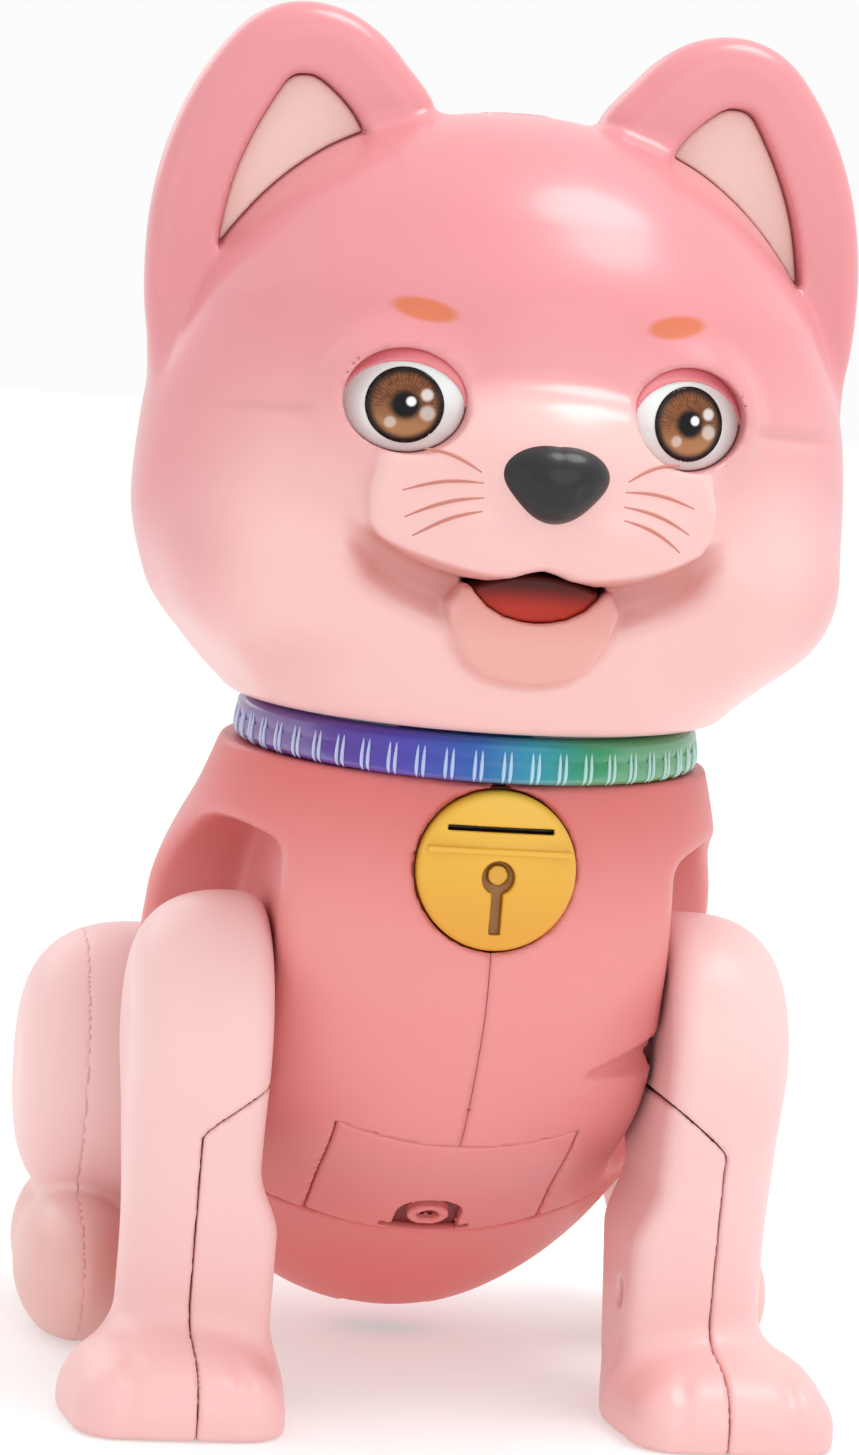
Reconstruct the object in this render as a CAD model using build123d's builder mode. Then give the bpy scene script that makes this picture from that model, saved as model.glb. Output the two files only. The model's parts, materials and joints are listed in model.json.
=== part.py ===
"""Sitting robot dog toy: torso, four motor-driven legs, a turning head, a light-up collar and a bell button.

Frame: millimetres, +Z up, the dog looks along -Y, and +X is the dog's left. The origin is on the ground,
under the middle of the object. Every piece is a separate solid, written to parts/NAME.step.
"""

import os

from build123d import *

os.makedirs("parts", exist_ok=True)

# ---- driving dimensions -------------------------------------------------------------------------
WALL = 2.2  # moulded shell wall
SEAM = 0.25  # gap on each side of a parting line
SLIP = 0.1  # gap between pieces that are pushed together and stay put
RUN = 0.08  # radial clearance of a shaft in its bearing
CLEAR = 0.6  # clearance between bodies that move past each other

NECK = Vector(0, -11.6, 119)  # centre of the collar
NECK_TILT = 3.0  # the collar leans forwards by this many degrees
COLLAR_R, COLLAR_INNER_R, COLLAR_HEIGHT = 41.7, 34.0, 8.0
NECK_POST_R = 12.0

BODY_LEAN = 35.0  # the torso's long axis against the vertical
# Torso cross-sections along its axis: distance from the neck, half width, belly side, back side
TORSO_STATIONS = [
    (-16, 35.0, -35, 28),
    (0, 42.5, -47, 33),
    (20, 48.0, -57.5, 36),
    (42, 53.5, -60.0, 39.5),
    (70, 52.0, -50.0, 42),
    (95, 46.0, -39.5, 38.5),
    (115, 32.5, -29.5, 26),
    (125, 19.0, -19.5, 13),
    (130, 5.0, -7.0, 1),
]
SEAT_SPLIT = 80.0  # the seat shell begins here, along the torso's axis

FRONT_PIVOT = Vector(0, -21, 65)
FRONT_HUB_R = 24.5
FRONT_INNER_X, FRONT_OUTER_X, FRONT_SEAM_X = 33.6, 58.5, 46.0
FRONT_FOOT_INNER_X, FRONT_FOOT_OUTER_X = 29.5, 64.5
POCKET_R, POCKET_X = 37.0, 33.0  # shoulder pocket in the torso

HIND_PIVOT = Vector(0, 41, 46)
HIND_HUB_R = 28.5
HIND_INNER_X, HIND_OUTER_X, HIND_SEAM_X = 46.6, 72.3, 60.0
HIND_FOOT_INNER_X = 50.2
HIP_FLAT_X = 46.0

SHAFT_R, BUSH_R = 5.0, 7.3
SERVO_LENGTH, SERVO_WIDTH = 21.0, 12.0
SHOULDER_SERVO_X = (6.5, 28.0)
HIP_SERVO_X = (17.0, 39.5)
SERVO_DROP = 8.0  # the output shaft sits this far above the servo's lower end

BELL_RIM = Vector(0, -50, 98)  # where the bell's axis meets the chest
BELL_R, BELL_HOUSING_R, BELL_DEPTH = 13.8, 15.6, 12.0

DOOR_WIDTH, DOOR_LENGTH = 43.0, 37.0
DOOR_TOP = Vector(0, -31.0, 51.0)  # middle of the battery door's upper edge, at corner height
DOOR_SLOPE = 34.5
TRAY_DEPTH = 9.0

# Head cross-sections: height, half width, front, back
HEAD_STATIONS = [
    (108, 22.0, -36, 6),
    (117, 36.0, -50, 16),
    (124, 44.5, -57, 22),
    (132, 52.0, -61.5, 27.5),
    (143, 58.5, -66, 31.5),
    (158, 62.5, -69, 34),
    (175, 61.5, -69, 34),
    (192, 56.0, -66, 31),
    (207, 46.5, -58, 24),
    (218, 34.5, -47, 13),
    (225, 19.5, -35, -1),
    (227.4, 6.0, -24, -13),
]
HEAD_SPLIT_Y = -10.5
MUZZLE_CENTRE, MUZZLE_RADII = Vector(0, -57, 155), (31.0, 19.0, 17.0)
NOSE_CENTRE, NOSE_RADII = Vector(0, -75.5, 164.5), (10.0, 5.5, 7.2)
MOUTH_Z, MOUTH_HALF_WIDTH, MOUTH_HALF_HEIGHT = 145.5, 12.0, 4.2
EYE_X, EYE_Z, EYE_FRONT_Y = 24.0, 176.0, -62.6
EYE_HALF_WIDTH, EYE_HALF_HEIGHT, IRIS_R = 10.3, 9.0, 6.7
EAR_FRONT_Y, EAR_BACK_Y = -25.0, -11.0
BOARD_THICKNESS = 1.6
HEAD_SCREWS = [(38, 150), (-38, 150), (30, 201), (-30, 201)]
HEAD_SCREW_SEAT_Y = 12.0
TORSO_SCREWS = [(-38, 73), (20, 62)]  # Y and Z of the screws that hold the torso halves together
TORSO_SCREW_SEAT_X = 24.0
FRONT_LEG_SCREWS = [(-26, 22), (-21, 82)]

SWITCH_Y, SWITCH_FLOOR_Z = 34.0, 8.5  # the power switch under the seat
PORT_AT = 104.0  # the charging port's distance along the torso's axis

# ---- frames and forms shared by many parts ---------------------------------------------------------
neck_plane = Plane(NECK, x_dir=(1, 0, 0), z_dir=Vector(0, 0, 1).rotate(Axis.X, NECK_TILT))
axis_down = Vector(0, 0, -1).rotate(Axis.X, BODY_LEAN)
axis_back = Vector(0, 1, 0).rotate(Axis.X, BODY_LEAN)
door_out = Vector(0, 0, -1).rotate(Axis.X, -DOOR_SLOPE)
door_plane = Plane(DOOR_TOP, x_dir=(-1, 0, 0), z_dir=door_out)  # local y runs down the belly
bell_plane = Plane(BELL_RIM, x_dir=(1, 0, 0), z_dir=(0, -1, 0))  # local z points forwards


def torso_point(s, h, x=0.0):
    """A point at distance s along the torso's axis, h towards the dog's back, x to its left."""
    return NECK + axis_down * s + axis_back * h + Vector(x, 0, 0)


def torso_plane(s, h=0.0):
    """A plane across the torso's axis, facing down and back."""
    return Plane(torso_point(s, h), x_dir=(1, 0, 0), z_dir=axis_down)


def side_plane(x):
    """A plane at x that faces the dog's left, with local x = Y and local y = Z."""
    return Plane((x, 0, 0), x_dir=(0, 1, 0), z_dir=(1, 0, 0))


def front_plane(y):
    """A plane at y that faces the viewer, with local x = X and local y = Z."""
    return Plane((0, y, 0), x_dir=(1, 0, 0), z_dir=(0, -1, 0))


def export(builder, name):
    """Labels a finished piece and writes it as its own STEP file."""
    builder.part.label = name
    export_step(builder.part, f"parts/{name}.step")


def export_pair(left, name):
    """Writes the dog's left piece and its mirror image, the right one."""
    export(left, f"{name}_left")
    with BuildPart() as right:
        add(mirror(left.part, about=Plane.YZ))
    export(right, f"{name}_right")


def torso_body(inset):
    """The closed torso form, smaller by inset all round."""
    with BuildPart() as body:
        for s, half_width, belly, back in TORSO_STATIONS:
            station = s if s < 120 else s - inset
            with BuildSketch(torso_plane(station, (back + belly) / 2)):
                Ellipse(max(half_width - inset, 2.5), max((back - belly) / 2 - inset, 2.0))
        loft()
    return body.part


def head_body(inset):
    """The closed head form without muzzle or ears, smaller by inset all round."""
    with BuildPart() as body:
        for z, half_width, front, back in HEAD_STATIONS:
            station = z if z < 200 else z - inset * (z - 200) / 27.4
            with BuildSketch(Plane((0, (front + back) / 2, station))):
                Ellipse(max(half_width - inset, 3.5), max((back - front) / 2 - inset, 3.5))
        loft()
    return body.part


def ellipsoid(centre, radii, inset=0.0):
    """A closed ellipsoid, smaller by inset all round."""
    unit = Sphere(1, mode=Mode.PRIVATE)
    return Pos(*centre) * unit.scale(tuple(radius - inset for radius in radii))


def cylinder_x(y, z, radius, x_from, x_to):
    """A round bar along X."""
    with BuildPart() as bar:
        with BuildSketch(side_plane(x_from)):
            with Locations((y, z)):
                Circle(radius)
        extrude(amount=x_to - x_from)
    return bar.part


def cylinder_y(x, z, radius, y_front, y_back):
    """A round bar along Y."""
    with BuildPart() as bar:
        with BuildSketch(front_plane(y_back)):
            with Locations((x, z)):
                Circle(radius)
        extrude(amount=y_back - y_front)
    return bar.part


def disc(plane, radius, low, high):
    """A round bar along a plane's normal."""
    with BuildPart() as bar:
        with BuildSketch(plane.offset(low)):
            Circle(radius)
        extrude(amount=high - low)
    return bar.part


def block(x, y, z):
    """A box between pairs of X, Y and Z."""
    with BuildPart() as box:
        with BuildSketch(Plane.XY.offset(z[0])):
            with Locations(((x[0] + x[1]) / 2, (y[0] + y[1]) / 2)):
                Rectangle(x[1] - x[0], y[1] - y[0])
        extrude(amount=z[1] - z[0])
    return box.part


torso_outer = torso_body(0)
torso_inner = torso_body(WALL)
collar_base = -COLLAR_HEIGHT / 2
seat_plane = torso_plane(SEAT_SPLIT)
chest_wall = 3.4  # depth of the chest wall round the bell
bell_well = disc(bell_plane, BELL_HOUSING_R + SLIP, -BELL_DEPTH - SLIP, -chest_wall)
bell_well += disc(bell_plane, BELL_R + CLEAR, -chest_wall - 1, 20)
bell_carrier_half = 6.0
speaker_plane = torso_plane(108, -2)

# ---- torso shells ---------------------------------------------------------------------------------
def both_sides(y, z, radius, x_from, x_to):
    """Two round bars along X, mirror images of each other."""
    with BuildPart() as bars:
        add(cylinder_x(y, z, radius, x_from, x_to))
        mirror(about=Plane.YZ)
    return bars.part


with BuildPart() as torso_cavity:
    add(torso_inner)
    add(disc(neck_plane, 70, collar_base - WALL, 60), mode=Mode.SUBTRACT)
    add(both_sides(FRONT_PIVOT.Y, FRONT_PIVOT.Z, POCKET_R + WALL, POCKET_X - WALL, 90), mode=Mode.SUBTRACT)
    add(both_sides(HIND_PIVOT.Y, HIND_PIVOT.Z, HIND_HUB_R + 3.7, HIP_FLAT_X - WALL, 90), mode=Mode.SUBTRACT)
    for y, z in TORSO_SCREWS:
        add(cylinder_x(y, z, 3.6, -60, 60), mode=Mode.SUBTRACT)
    add(disc(speaker_plane, 15.5, 5 + SLIP, 30) - disc(speaker_plane, 13, 0, 40), mode=Mode.SUBTRACT)
    add(block((-10, 10), (SWITCH_Y - 6, SWITCH_Y + 6), (2, SWITCH_FLOOR_Z + 2)), mode=Mode.SUBTRACT)

with BuildPart() as torso_shell:
    add(torso_outer)
    add(disc(neck_plane, 70, collar_base, 60), mode=Mode.SUBTRACT)
    add(both_sides(FRONT_PIVOT.Y, FRONT_PIVOT.Z, POCKET_R, POCKET_X, 90), mode=Mode.SUBTRACT)
    add(both_sides(HIND_PIVOT.Y, HIND_PIVOT.Z, HIND_HUB_R + 1.5, HIP_FLAT_X, 90), mode=Mode.SUBTRACT)
    add(torso_cavity.part, mode=Mode.SUBTRACT)
    add(disc(neck_plane, NECK_POST_R + 3.3, -20, 0), mode=Mode.SUBTRACT)
    add(both_sides(FRONT_PIVOT.Y, FRONT_PIVOT.Z, BUSH_R + SLIP, 29, 60), mode=Mode.SUBTRACT)
    add(both_sides(HIND_PIVOT.Y, HIND_PIVOT.Z, BUSH_R + SLIP, 42, 60), mode=Mode.SUBTRACT)
    for y, z in TORSO_SCREWS:
        add(cylinder_x(y, z, 3.0, TORSO_SCREW_SEAT_X, 60), mode=Mode.SUBTRACT)
        add(cylinder_x(y, z, 1.3, -20, TORSO_SCREW_SEAT_X), mode=Mode.SUBTRACT)
    add(bell_well, mode=Mode.SUBTRACT)
    with BuildSketch(door_plane.offset(-14)):
        with Locations((0, DOOR_LENGTH / 2)):
            Rectangle(DOOR_WIDTH + 2 * SEAM, DOOR_LENGTH + 2 * SEAM)
    extrude(amount=30, mode=Mode.SUBTRACT)

for name, offset_x, kept in (("left", SEAM / 2, Keep.TOP), ("right", -SEAM / 2, Keep.BOTTOM)):
    with BuildPart() as half:
        add(torso_shell.part)
        split(bisect_by=seat_plane.offset(-SEAM), keep=Keep.BOTTOM)
        split(bisect_by=Plane.YZ.offset(offset_x), keep=kept)
    export(half, f"torso_shell_{name}")

# ---- seat shell with speaker ring, switch recess and charging port hole -----------------------------
port_plane = Plane(torso_point(PORT_AT, 0), x_dir=(1, 0, 0), z_dir=axis_back)
with BuildPart() as seat_shell:
    add(torso_shell.part)
    split(bisect_by=seat_plane.offset(SEAM), keep=Keep.TOP)
    add(block((-8, 8), (SWITCH_Y - 4.2, SWITCH_Y + 4.2), (0, SWITCH_FLOOR_Z)), mode=Mode.SUBTRACT)
    add(block((-4, 4), (SWITCH_Y - 1.8, SWITCH_Y + 1.8), (5, 12)), mode=Mode.SUBTRACT)
    with BuildSketch(port_plane.offset(20)):
        Rectangle(9.4, 3.8)
    extrude(amount=30, mode=Mode.SUBTRACT)
    with BuildSketch(speaker_plane.offset(10)):
        with PolarLocations(7, 8):
            Circle(1.1)
        Circle(1.1)
    extrude(amount=30, mode=Mode.SUBTRACT)
export(seat_shell, "seat_shell")

with BuildPart() as speaker:
    add(disc(speaker_plane, 15.2, 0, 5))
    add(disc(speaker_plane, 8.0, -4, 0))
    chamfer(speaker.faces().sort_by(Axis(NECK, axis_down))[0].edges(), 1)
export(speaker, "speaker")

with BuildPart() as switch_body:
    add(block((-7, 7), (SWITCH_Y - 4, SWITCH_Y + 4), (SWITCH_FLOOR_Z + 2.1, SWITCH_FLOOR_Z + 7)))
    add(block((-3.4, 3.4), (SWITCH_Y - 1.7, SWITCH_Y + 1.7), (SWITCH_FLOOR_Z + 2, SWITCH_FLOOR_Z + 4.6)),
        mode=Mode.SUBTRACT)
export(switch_body, "switch_body")

with BuildPart() as power_switch:
    add(block((-4.4, 1.4), (SWITCH_Y - 3, SWITCH_Y + 3), (SWITCH_FLOOR_Z - 2.4, SWITCH_FLOOR_Z - 0.3)))
    add(block((-3.0, 0), (SWITCH_Y - 1.4, SWITCH_Y + 1.4), (SWITCH_FLOOR_Z - 0.3, SWITCH_FLOOR_Z + 4.2)))
export(power_switch, "power_switch")

with BuildPart() as charge_port:
    with BuildSketch(port_plane.offset(21)):
        Rectangle(9.2, 3.6)
    extrude(amount=11)
    with BuildSketch(port_plane.offset(23)):
        Rectangle(8.2, 2.6)
    extrude(amount=12, mode=Mode.SUBTRACT)
    with BuildSketch(port_plane.offset(23)):
        Rectangle(6.6, 0.8)
    extrude(amount=7)
export(charge_port, "charge_port")

with BuildPart() as tail:
    add(ellipsoid((0, 70.3, 76), (8.5, 10.7, 15)))
    add(torso_outer, mode=Mode.SUBTRACT)
export(tail, "tail")

# ---- battery door, tray and pack --------------------------------------------------------------------
def door_form(x, y, width, length, low, high):
    """A rectangular bar along the door's normal; y is the distance down from the door's upper edge."""
    with BuildPart() as bar:
        with BuildSketch(door_plane.offset(low)):
            with Locations((x, y)):
                Rectangle(width, length)
        extrude(amount=high - low)
    return bar.part


door_screw_plane = Plane(door_plane.from_local_coords((0, DOOR_LENGTH - 5, 0)), x_dir=(1, 0, 0), z_dir=door_out)
door_panel = door_form(0, DOOR_LENGTH / 2, DOOR_WIDTH, DOOR_LENGTH, -12, 18) & torso_outer
with BuildPart() as battery_door:
    add(door_panel - torso_inner)
    add(disc(door_screw_plane, 3.8, -2.4, 3.5))
    add(disc(door_screw_plane, 1.5, -5, 20), mode=Mode.SUBTRACT)
    add(disc(door_screw_plane, 2.9, 1.6, 20), mode=Mode.SUBTRACT)
export(battery_door, "battery_door")

with BuildPart() as door_screw:
    add(disc(door_screw_plane, 2.7, 1.7, 3.4))
    add(disc(door_screw_plane, 1.4, -2.4, 1.7))
    with BuildSketch(door_screw_plane.offset(2.6)):
        Rectangle(4, 0.8)
        Rectangle(0.8, 4)
    extrude(amount=2, mode=Mode.SUBTRACT)
export(door_screw, "door_screw")

tray_top, tray_length = 5.0, DOOR_LENGTH - 3.5
with BuildPart() as battery_tray:
    add(door_form(0, tray_top + tray_length / 2, DOOR_WIDTH + 3, tray_length, -TRAY_DEPTH - 1.4, 10))
    add(door_form(0, tray_top + tray_length / 2, DOOR_WIDTH, tray_length - 3, -TRAY_DEPTH, 12), mode=Mode.SUBTRACT)
    add(torso_body(WALL + SLIP), mode=Mode.INTERSECT)
    add(disc(door_screw_plane, 3.2, -TRAY_DEPTH, -2.8) - disc(door_screw_plane, 1.4, -TRAY_DEPTH, 0))
export(battery_tray, "battery_tray")

with BuildPart() as battery_pack:
    with BuildSketch(door_plane.offset(-TRAY_DEPTH)):
        with Locations((0, 17.6)):
            RectangleRounded(38, 21, 3)
    extrude(amount=7.2)
    fillet(battery_pack.faces().sort_by(Axis(DOOR_TOP, door_out))[-1].edges(), 1.5)
export(battery_pack, "battery_pack")

# ---- servos, bushes and chassis -----------------------------------------------------------------------
def leg_servo(pivot, x_range):
    """A servo case with mounting ears and a blind socket for the leg's shaft."""
    low, high = pivot.Z - SERVO_DROP, pivot.Z - SERVO_DROP + SERVO_LENGTH
    y_range = (pivot.Y - SERVO_WIDTH / 2, pivot.Y + SERVO_WIDTH / 2)
    with BuildPart() as servo:
        add(block(x_range, y_range, (low, high)))
        fillet(servo.edges().filter_by(Axis.X), 1.2)
        add(block((x_range[1] - 7, x_range[1] - 4.6), y_range, (high - 2, high + 4)))
        add(cylinder_x(pivot.Y, pivot.Z, SHAFT_R + RUN, x_range[1] - 4.5, x_range[1] + 5), mode=Mode.SUBTRACT)
    return servo


export_pair(leg_servo(FRONT_PIVOT, SHOULDER_SERVO_X), "shoulder_servo")
export_pair(leg_servo(HIND_PIVOT, HIP_SERVO_X), "hip_servo")


def bush_pair(pivot, x_low, x_high):
    """The two bushes, left and right, that a pair of leg shafts turns in."""
    with BuildPart() as bushes:
        add(cylinder_x(pivot.Y, pivot.Z, BUSH_R, x_low, x_high))
        add(cylinder_x(pivot.Y, pivot.Z, SHAFT_R + RUN, x_low - 1, x_high + 1), mode=Mode.SUBTRACT)
        mirror(about=Plane.YZ)
    return bushes


export(bush_pair(FRONT_PIVOT, POCKET_X - WALL - 1.5, POCKET_X), "shoulder_bushes")
export(bush_pair(HIND_PIVOT, HIP_FLAT_X - WALL - 1.5, HIP_FLAT_X), "hip_bushes")

board_low, board_high = 24.0, 62.0
board_height = 22.0
CHASSIS_OUTLINE = [
    (-30, 62), (-30, 79), (-14, 79), (8, 79), (14, 98), (17.8, 112.4), (42.4, 77.2), (47, 62), (47, 40),
    (35, 40), (8, 56), (-16, 60),
]
with BuildPart() as chassis_frame:
    with BuildSketch(side_plane(-2.5)):
        with BuildLine():
            Polyline(*CHASSIS_OUTLINE, close=True)
        make_face()
    extrude(amount=5)
    add(block((-6.4, 6.4), (-27, -15), (63, 77)))
    add(block((-16.9, 16.9), (36, 46), (40, 57)))
    with BuildSketch(side_plane(-10)):
        for y, z, radius in ((14, 72, 8), (27, 76, 7), (20, 90, 6)):
            with Locations((y, z)):
                Circle(radius)
    extrude(amount=20, mode=Mode.SUBTRACT)
    add(disc(Plane(torso_point(board_low, 0), x_dir=(1, 0, 0), z_dir=axis_back), 40, board_height, 60),
        mode=Mode.SUBTRACT)
    for y, z in TORSO_SCREWS:
        add(cylinder_x(y, z, 4.2, -30, 30), mode=Mode.SUBTRACT)
export(chassis_frame, "chassis_frame")

board_plane = Plane(torso_point((board_low + board_high) / 2, board_height), x_dir=(1, 0, 0), z_dir=axis_back)
with BuildPart() as main_board:
    with BuildSketch(board_plane):
        RectangleRounded(40, board_high - board_low, 2)
        with GridLocations(34, board_high - board_low - 6, 2, 2):
            Circle(1.2, mode=Mode.SUBTRACT)
    extrude(amount=BOARD_THICKNESS)
    for x, y, width, length, height in ((-8, 4, 10, 10, 1.2), (9, -6, 7, 12, 2.5), (8, 10, 9, 6, 4), (-10, -12, 8, 5, 3)):
        with BuildSketch(board_plane.offset(BOARD_THICKNESS)):
            with Locations((x, y)):
                Rectangle(width, length)
        extrude(amount=height)
export(main_board, "main_board")

with BuildPart() as shell_screws:
    for y, z in TORSO_SCREWS:
        add(cylinder_x(y, z, 2.8, TORSO_SCREW_SEAT_X, TORSO_SCREW_SEAT_X + 2))
        add(cylinder_x(y, z, 1.2, -16, TORSO_SCREW_SEAT_X))
        add(block((TORSO_SCREW_SEAT_X + 1, TORSO_SCREW_SEAT_X + 3), (y - 2, y + 2), (z - 0.4, z + 0.4)),
            mode=Mode.SUBTRACT)
        add(block((TORSO_SCREW_SEAT_X + 1, TORSO_SCREW_SEAT_X + 3), (y - 0.4, y + 0.4), (z - 2, z + 2)),
            mode=Mode.SUBTRACT)
export(shell_screws, "shell_screws")

# ---- neck and collar -----------------------------------------------------------------------------------
with BuildPart() as neck_bearing:
    add(disc(neck_plane, 32, collar_base, collar_base + 2))
    add(disc(neck_plane, NECK_POST_R + 3, -12, 3.5))
    add(disc(neck_plane, NECK_POST_R + RUN, -20, 20), mode=Mode.SUBTRACT)
    add(bell_well, mode=Mode.SUBTRACT)
export(neck_bearing, "neck_bearing")

with BuildPart() as collar_ring:
    with BuildSketch(Plane(NECK, x_dir=(1, 0, 0), z_dir=neck_plane.y_dir)) as section:
        with Locations(((COLLAR_R + COLLAR_INNER_R) / 2, 0)):
            Rectangle(COLLAR_R - COLLAR_INNER_R, COLLAR_HEIGHT)
        fillet(section.vertices().group_by(Axis.X)[-1], 3)
    revolve(axis=Axis(NECK, neck_plane.z_dir))
    add(bell_well, mode=Mode.SUBTRACT)
export(collar_ring, "collar_ring")

with BuildPart() as collar_led_board:
    add(disc(neck_plane, 31.5, collar_base + 2, collar_base + 2 + BOARD_THICKNESS))
    with BuildSketch(neck_plane.offset(collar_base + 2 + BOARD_THICKNESS)):
        with PolarLocations(29.5, 12):
            Rectangle(3.4, 3.4)
    extrude(amount=1.4)
    add(disc(neck_plane, NECK_POST_R + 3 + SLIP, -20, 20), mode=Mode.SUBTRACT)
    add(bell_well, mode=Mode.SUBTRACT)
export(collar_led_board, "collar_led_board")

post_top = COLLAR_HEIGHT / 2 + CLEAR + WALL
with BuildPart() as neck_post:
    add(disc(neck_plane, NECK_POST_R, -12.6, post_top))
    add(disc(neck_plane, 20, post_top, post_top + 2))
    add(disc(neck_plane, NECK_POST_R + 2, -14.6, -12.6))
    add(disc(neck_plane, 3, -20, -14.6))
    add(disc(neck_plane, NECK_POST_R - 2.5, -12.6, 20), mode=Mode.SUBTRACT)
export(neck_post, "neck_post")

with BuildPart() as neck_servo:
    with BuildSketch(neck_plane.offset(-37)):
        with Locations((0, 0)):
            RectangleRounded(24, 12, 1.2)
    extrude(amount=20)
    with BuildSketch(neck_plane.offset(-23)):
        Rectangle(31, 12)
    extrude(amount=2.2)
    add(disc(neck_plane, 3 + RUN, -21, -10), mode=Mode.SUBTRACT)
export(neck_servo, "neck_servo")

# ---- bell button ---------------------------------------------------------------------------------------
with BuildPart() as bell_housing:
    add(disc(bell_plane, BELL_HOUSING_R, -BELL_DEPTH, -chest_wall - SLIP))
    add(disc(bell_plane, BELL_R + CLEAR, -BELL_DEPTH + 1.6, 10), mode=Mode.SUBTRACT)
    with BuildSketch(bell_plane.offset(-BELL_DEPTH - 7)):
        Rectangle(2 * bell_carrier_half, 2 * bell_carrier_half)
        Rectangle(2 * bell_carrier_half - 2, 2 * bell_carrier_half - 2, mode=Mode.SUBTRACT)
    extrude(amount=7)
    add(disc(bell_plane, 3 + 2 * RUN, -30, 10), mode=Mode.SUBTRACT)
export(bell_housing, "bell_housing")

with BuildPart() as bell_button:
    add(disc(bell_plane, BELL_R, -6, 3))
    fillet(bell_button.edges().filter_by(GeomType.CIRCLE).sort_by(Axis.Y)[0], 2.5)
    add(disc(bell_plane, 3, -BELL_DEPTH - 1.5, -6))
    add(disc(bell_plane, 2.4, 2, 6), mode=Mode.SUBTRACT)
export(bell_button, "bell_button")

with BuildPart() as bell_switch:
    with BuildSketch(bell_plane.offset(-BELL_DEPTH - 6.8)):
        Rectangle(2 * bell_carrier_half - 2.2, 2 * bell_carrier_half - 2.2)
    extrude(amount=3.4)
    add(disc(bell_plane, 1.6, -BELL_DEPTH - 3.4, -BELL_DEPTH - 3.2 + 0.1))
export(bell_switch, "bell_switch")

spring_turns, spring_wire_r, spring_pitch = 3, 0.4, 0.95
with BuildPart() as bell_spring:
    for turn in range(spring_turns):
        height = -BELL_DEPTH + 2.1 + turn * spring_pitch
        with BuildSketch(Plane(BELL_RIM + Vector(0, -height, 0), x_dir=(1, 0, 0), z_dir=(0, 0, 1))):
            with Locations((4.8, 0)):
                Rectangle(2 * spring_wire_r, 2.2 * spring_wire_r)
        revolve(axis=Axis(BELL_RIM, (0, 1, 0)))
        if turn:
            add(block((4.4, 5.2), (BELL_RIM.Y - height, BELL_RIM.Y - height + spring_pitch), (97.6, 98.4)))
export(bell_spring, "bell_spring")

# ---- head ------------------------------------------------------------------------------------------------
EAR_OUTLINE = [(12, 214), (19, 228), (29, 240), (38.5, 245), (48, 239), (57, 222), (62.5, 204), (63, 190), (57, 176)]
EAR_INSERT_OUTLINE = [(29.5, 219.5), (32.5, 226), (38, 230), (44, 226), (50, 214), (52, 203), (48, 201), (38, 210)]


EAR_MIDDLE = (38.0, 210.0)


def ear(outline, size, y_front, y_back):
    """A closed ear form on the dog's left, between two planes across Y, scaled about the ear's middle."""
    middle_x, middle_z = EAR_MIDDLE
    points = [(middle_x + (x - middle_x) * size, middle_z + (z - middle_z) * size) for x, z in outline]
    with BuildPart() as form:
        with BuildSketch(front_plane(y_back)):
            with BuildLine():
                Spline(*points)
                Line(points[-1], points[0])
            make_face()
        extrude(amount=y_back - y_front)
    return form.part


ear_outer = ear(EAR_OUTLINE, 1.0, EAR_FRONT_Y, EAR_BACK_Y)
ear_inner = ear(EAR_OUTLINE, 0.88, EAR_FRONT_Y + WALL + 1.8, EAR_BACK_Y - WALL)
ear_insert_form = ear(EAR_INSERT_OUTLINE, 1.0, EAR_FRONT_Y, EAR_FRONT_Y + 1.6)
ear_recess = ear(EAR_INSERT_OUTLINE, 1.02, EAR_FRONT_Y - 1, EAR_FRONT_Y + 1.7)
head_outer = head_body(0)
head_floor = COLLAR_HEIGHT / 2 + CLEAR
with BuildPart() as ears:
    add(ear_outer)
    fillet(ears.faces().sort_by(Axis.Y)[0].edges().filter_by(GeomType.BSPLINE), 2.5)
    mirror(about=Plane.YZ)

with BuildPart() as head_cavity:
    add(head_body(WALL))
    add(ellipsoid(MUZZLE_CENTRE, MUZZLE_RADII, WALL))
    add(disc(neck_plane, 90, -60, head_floor + WALL), mode=Mode.SUBTRACT)
    for x, z in HEAD_SCREWS:
        add(cylinder_y(x, z, 3.6, -80, 60), mode=Mode.SUBTRACT)
        add(cylinder_y(x, z, 5.0, HEAD_SCREW_SEAT_Y - 2, 60), mode=Mode.SUBTRACT)
    add(ear_inner)
    add(mirror(ear_inner, about=Plane.YZ))

with BuildPart() as head_shell:
    add(head_outer)
    add(ellipsoid(MUZZLE_CENTRE, MUZZLE_RADII))
    add(ears.part)
    add(head_cavity.part, mode=Mode.SUBTRACT)
    add(disc(neck_plane, 90, -60, head_floor), mode=Mode.SUBTRACT)
    add(disc(neck_plane, NECK_POST_R + SLIP, 0, 15), mode=Mode.SUBTRACT)
    for x, z in HEAD_SCREWS:
        add(cylinder_y(x, z, 3.2, HEAD_SCREW_SEAT_Y, 60), mode=Mode.SUBTRACT)
        add(cylinder_y(x, z, 1.3, -31, HEAD_SCREW_SEAT_Y), mode=Mode.SUBTRACT)
    # eye sockets, mouth and the recesses for the ear inserts
    with BuildSketch(front_plane(-53)):
        with Locations((EYE_X, EYE_Z), (-EYE_X, EYE_Z)):
            Ellipse(EYE_HALF_WIDTH + SLIP, EYE_HALF_HEIGHT + SLIP)
    extrude(amount=30, mode=Mode.SUBTRACT)
    with BuildSketch(front_plane(-58)):
        with Locations((0, MOUTH_Z)):
            Ellipse(MOUTH_HALF_WIDTH + SLIP, MOUTH_HALF_HEIGHT + SLIP)
    extrude(amount=30, mode=Mode.SUBTRACT)
    add(ear_recess, mode=Mode.SUBTRACT)
    add(mirror(ear_recess, about=Plane.YZ), mode=Mode.SUBTRACT)

with BuildPart() as face_shell:
    add(head_shell.part)
    add(block((-90, 90), (HEAD_SPLIT_Y - SEAM / 2, 90), (90, 260)), mode=Mode.SUBTRACT)
export(face_shell, "face_shell")

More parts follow.
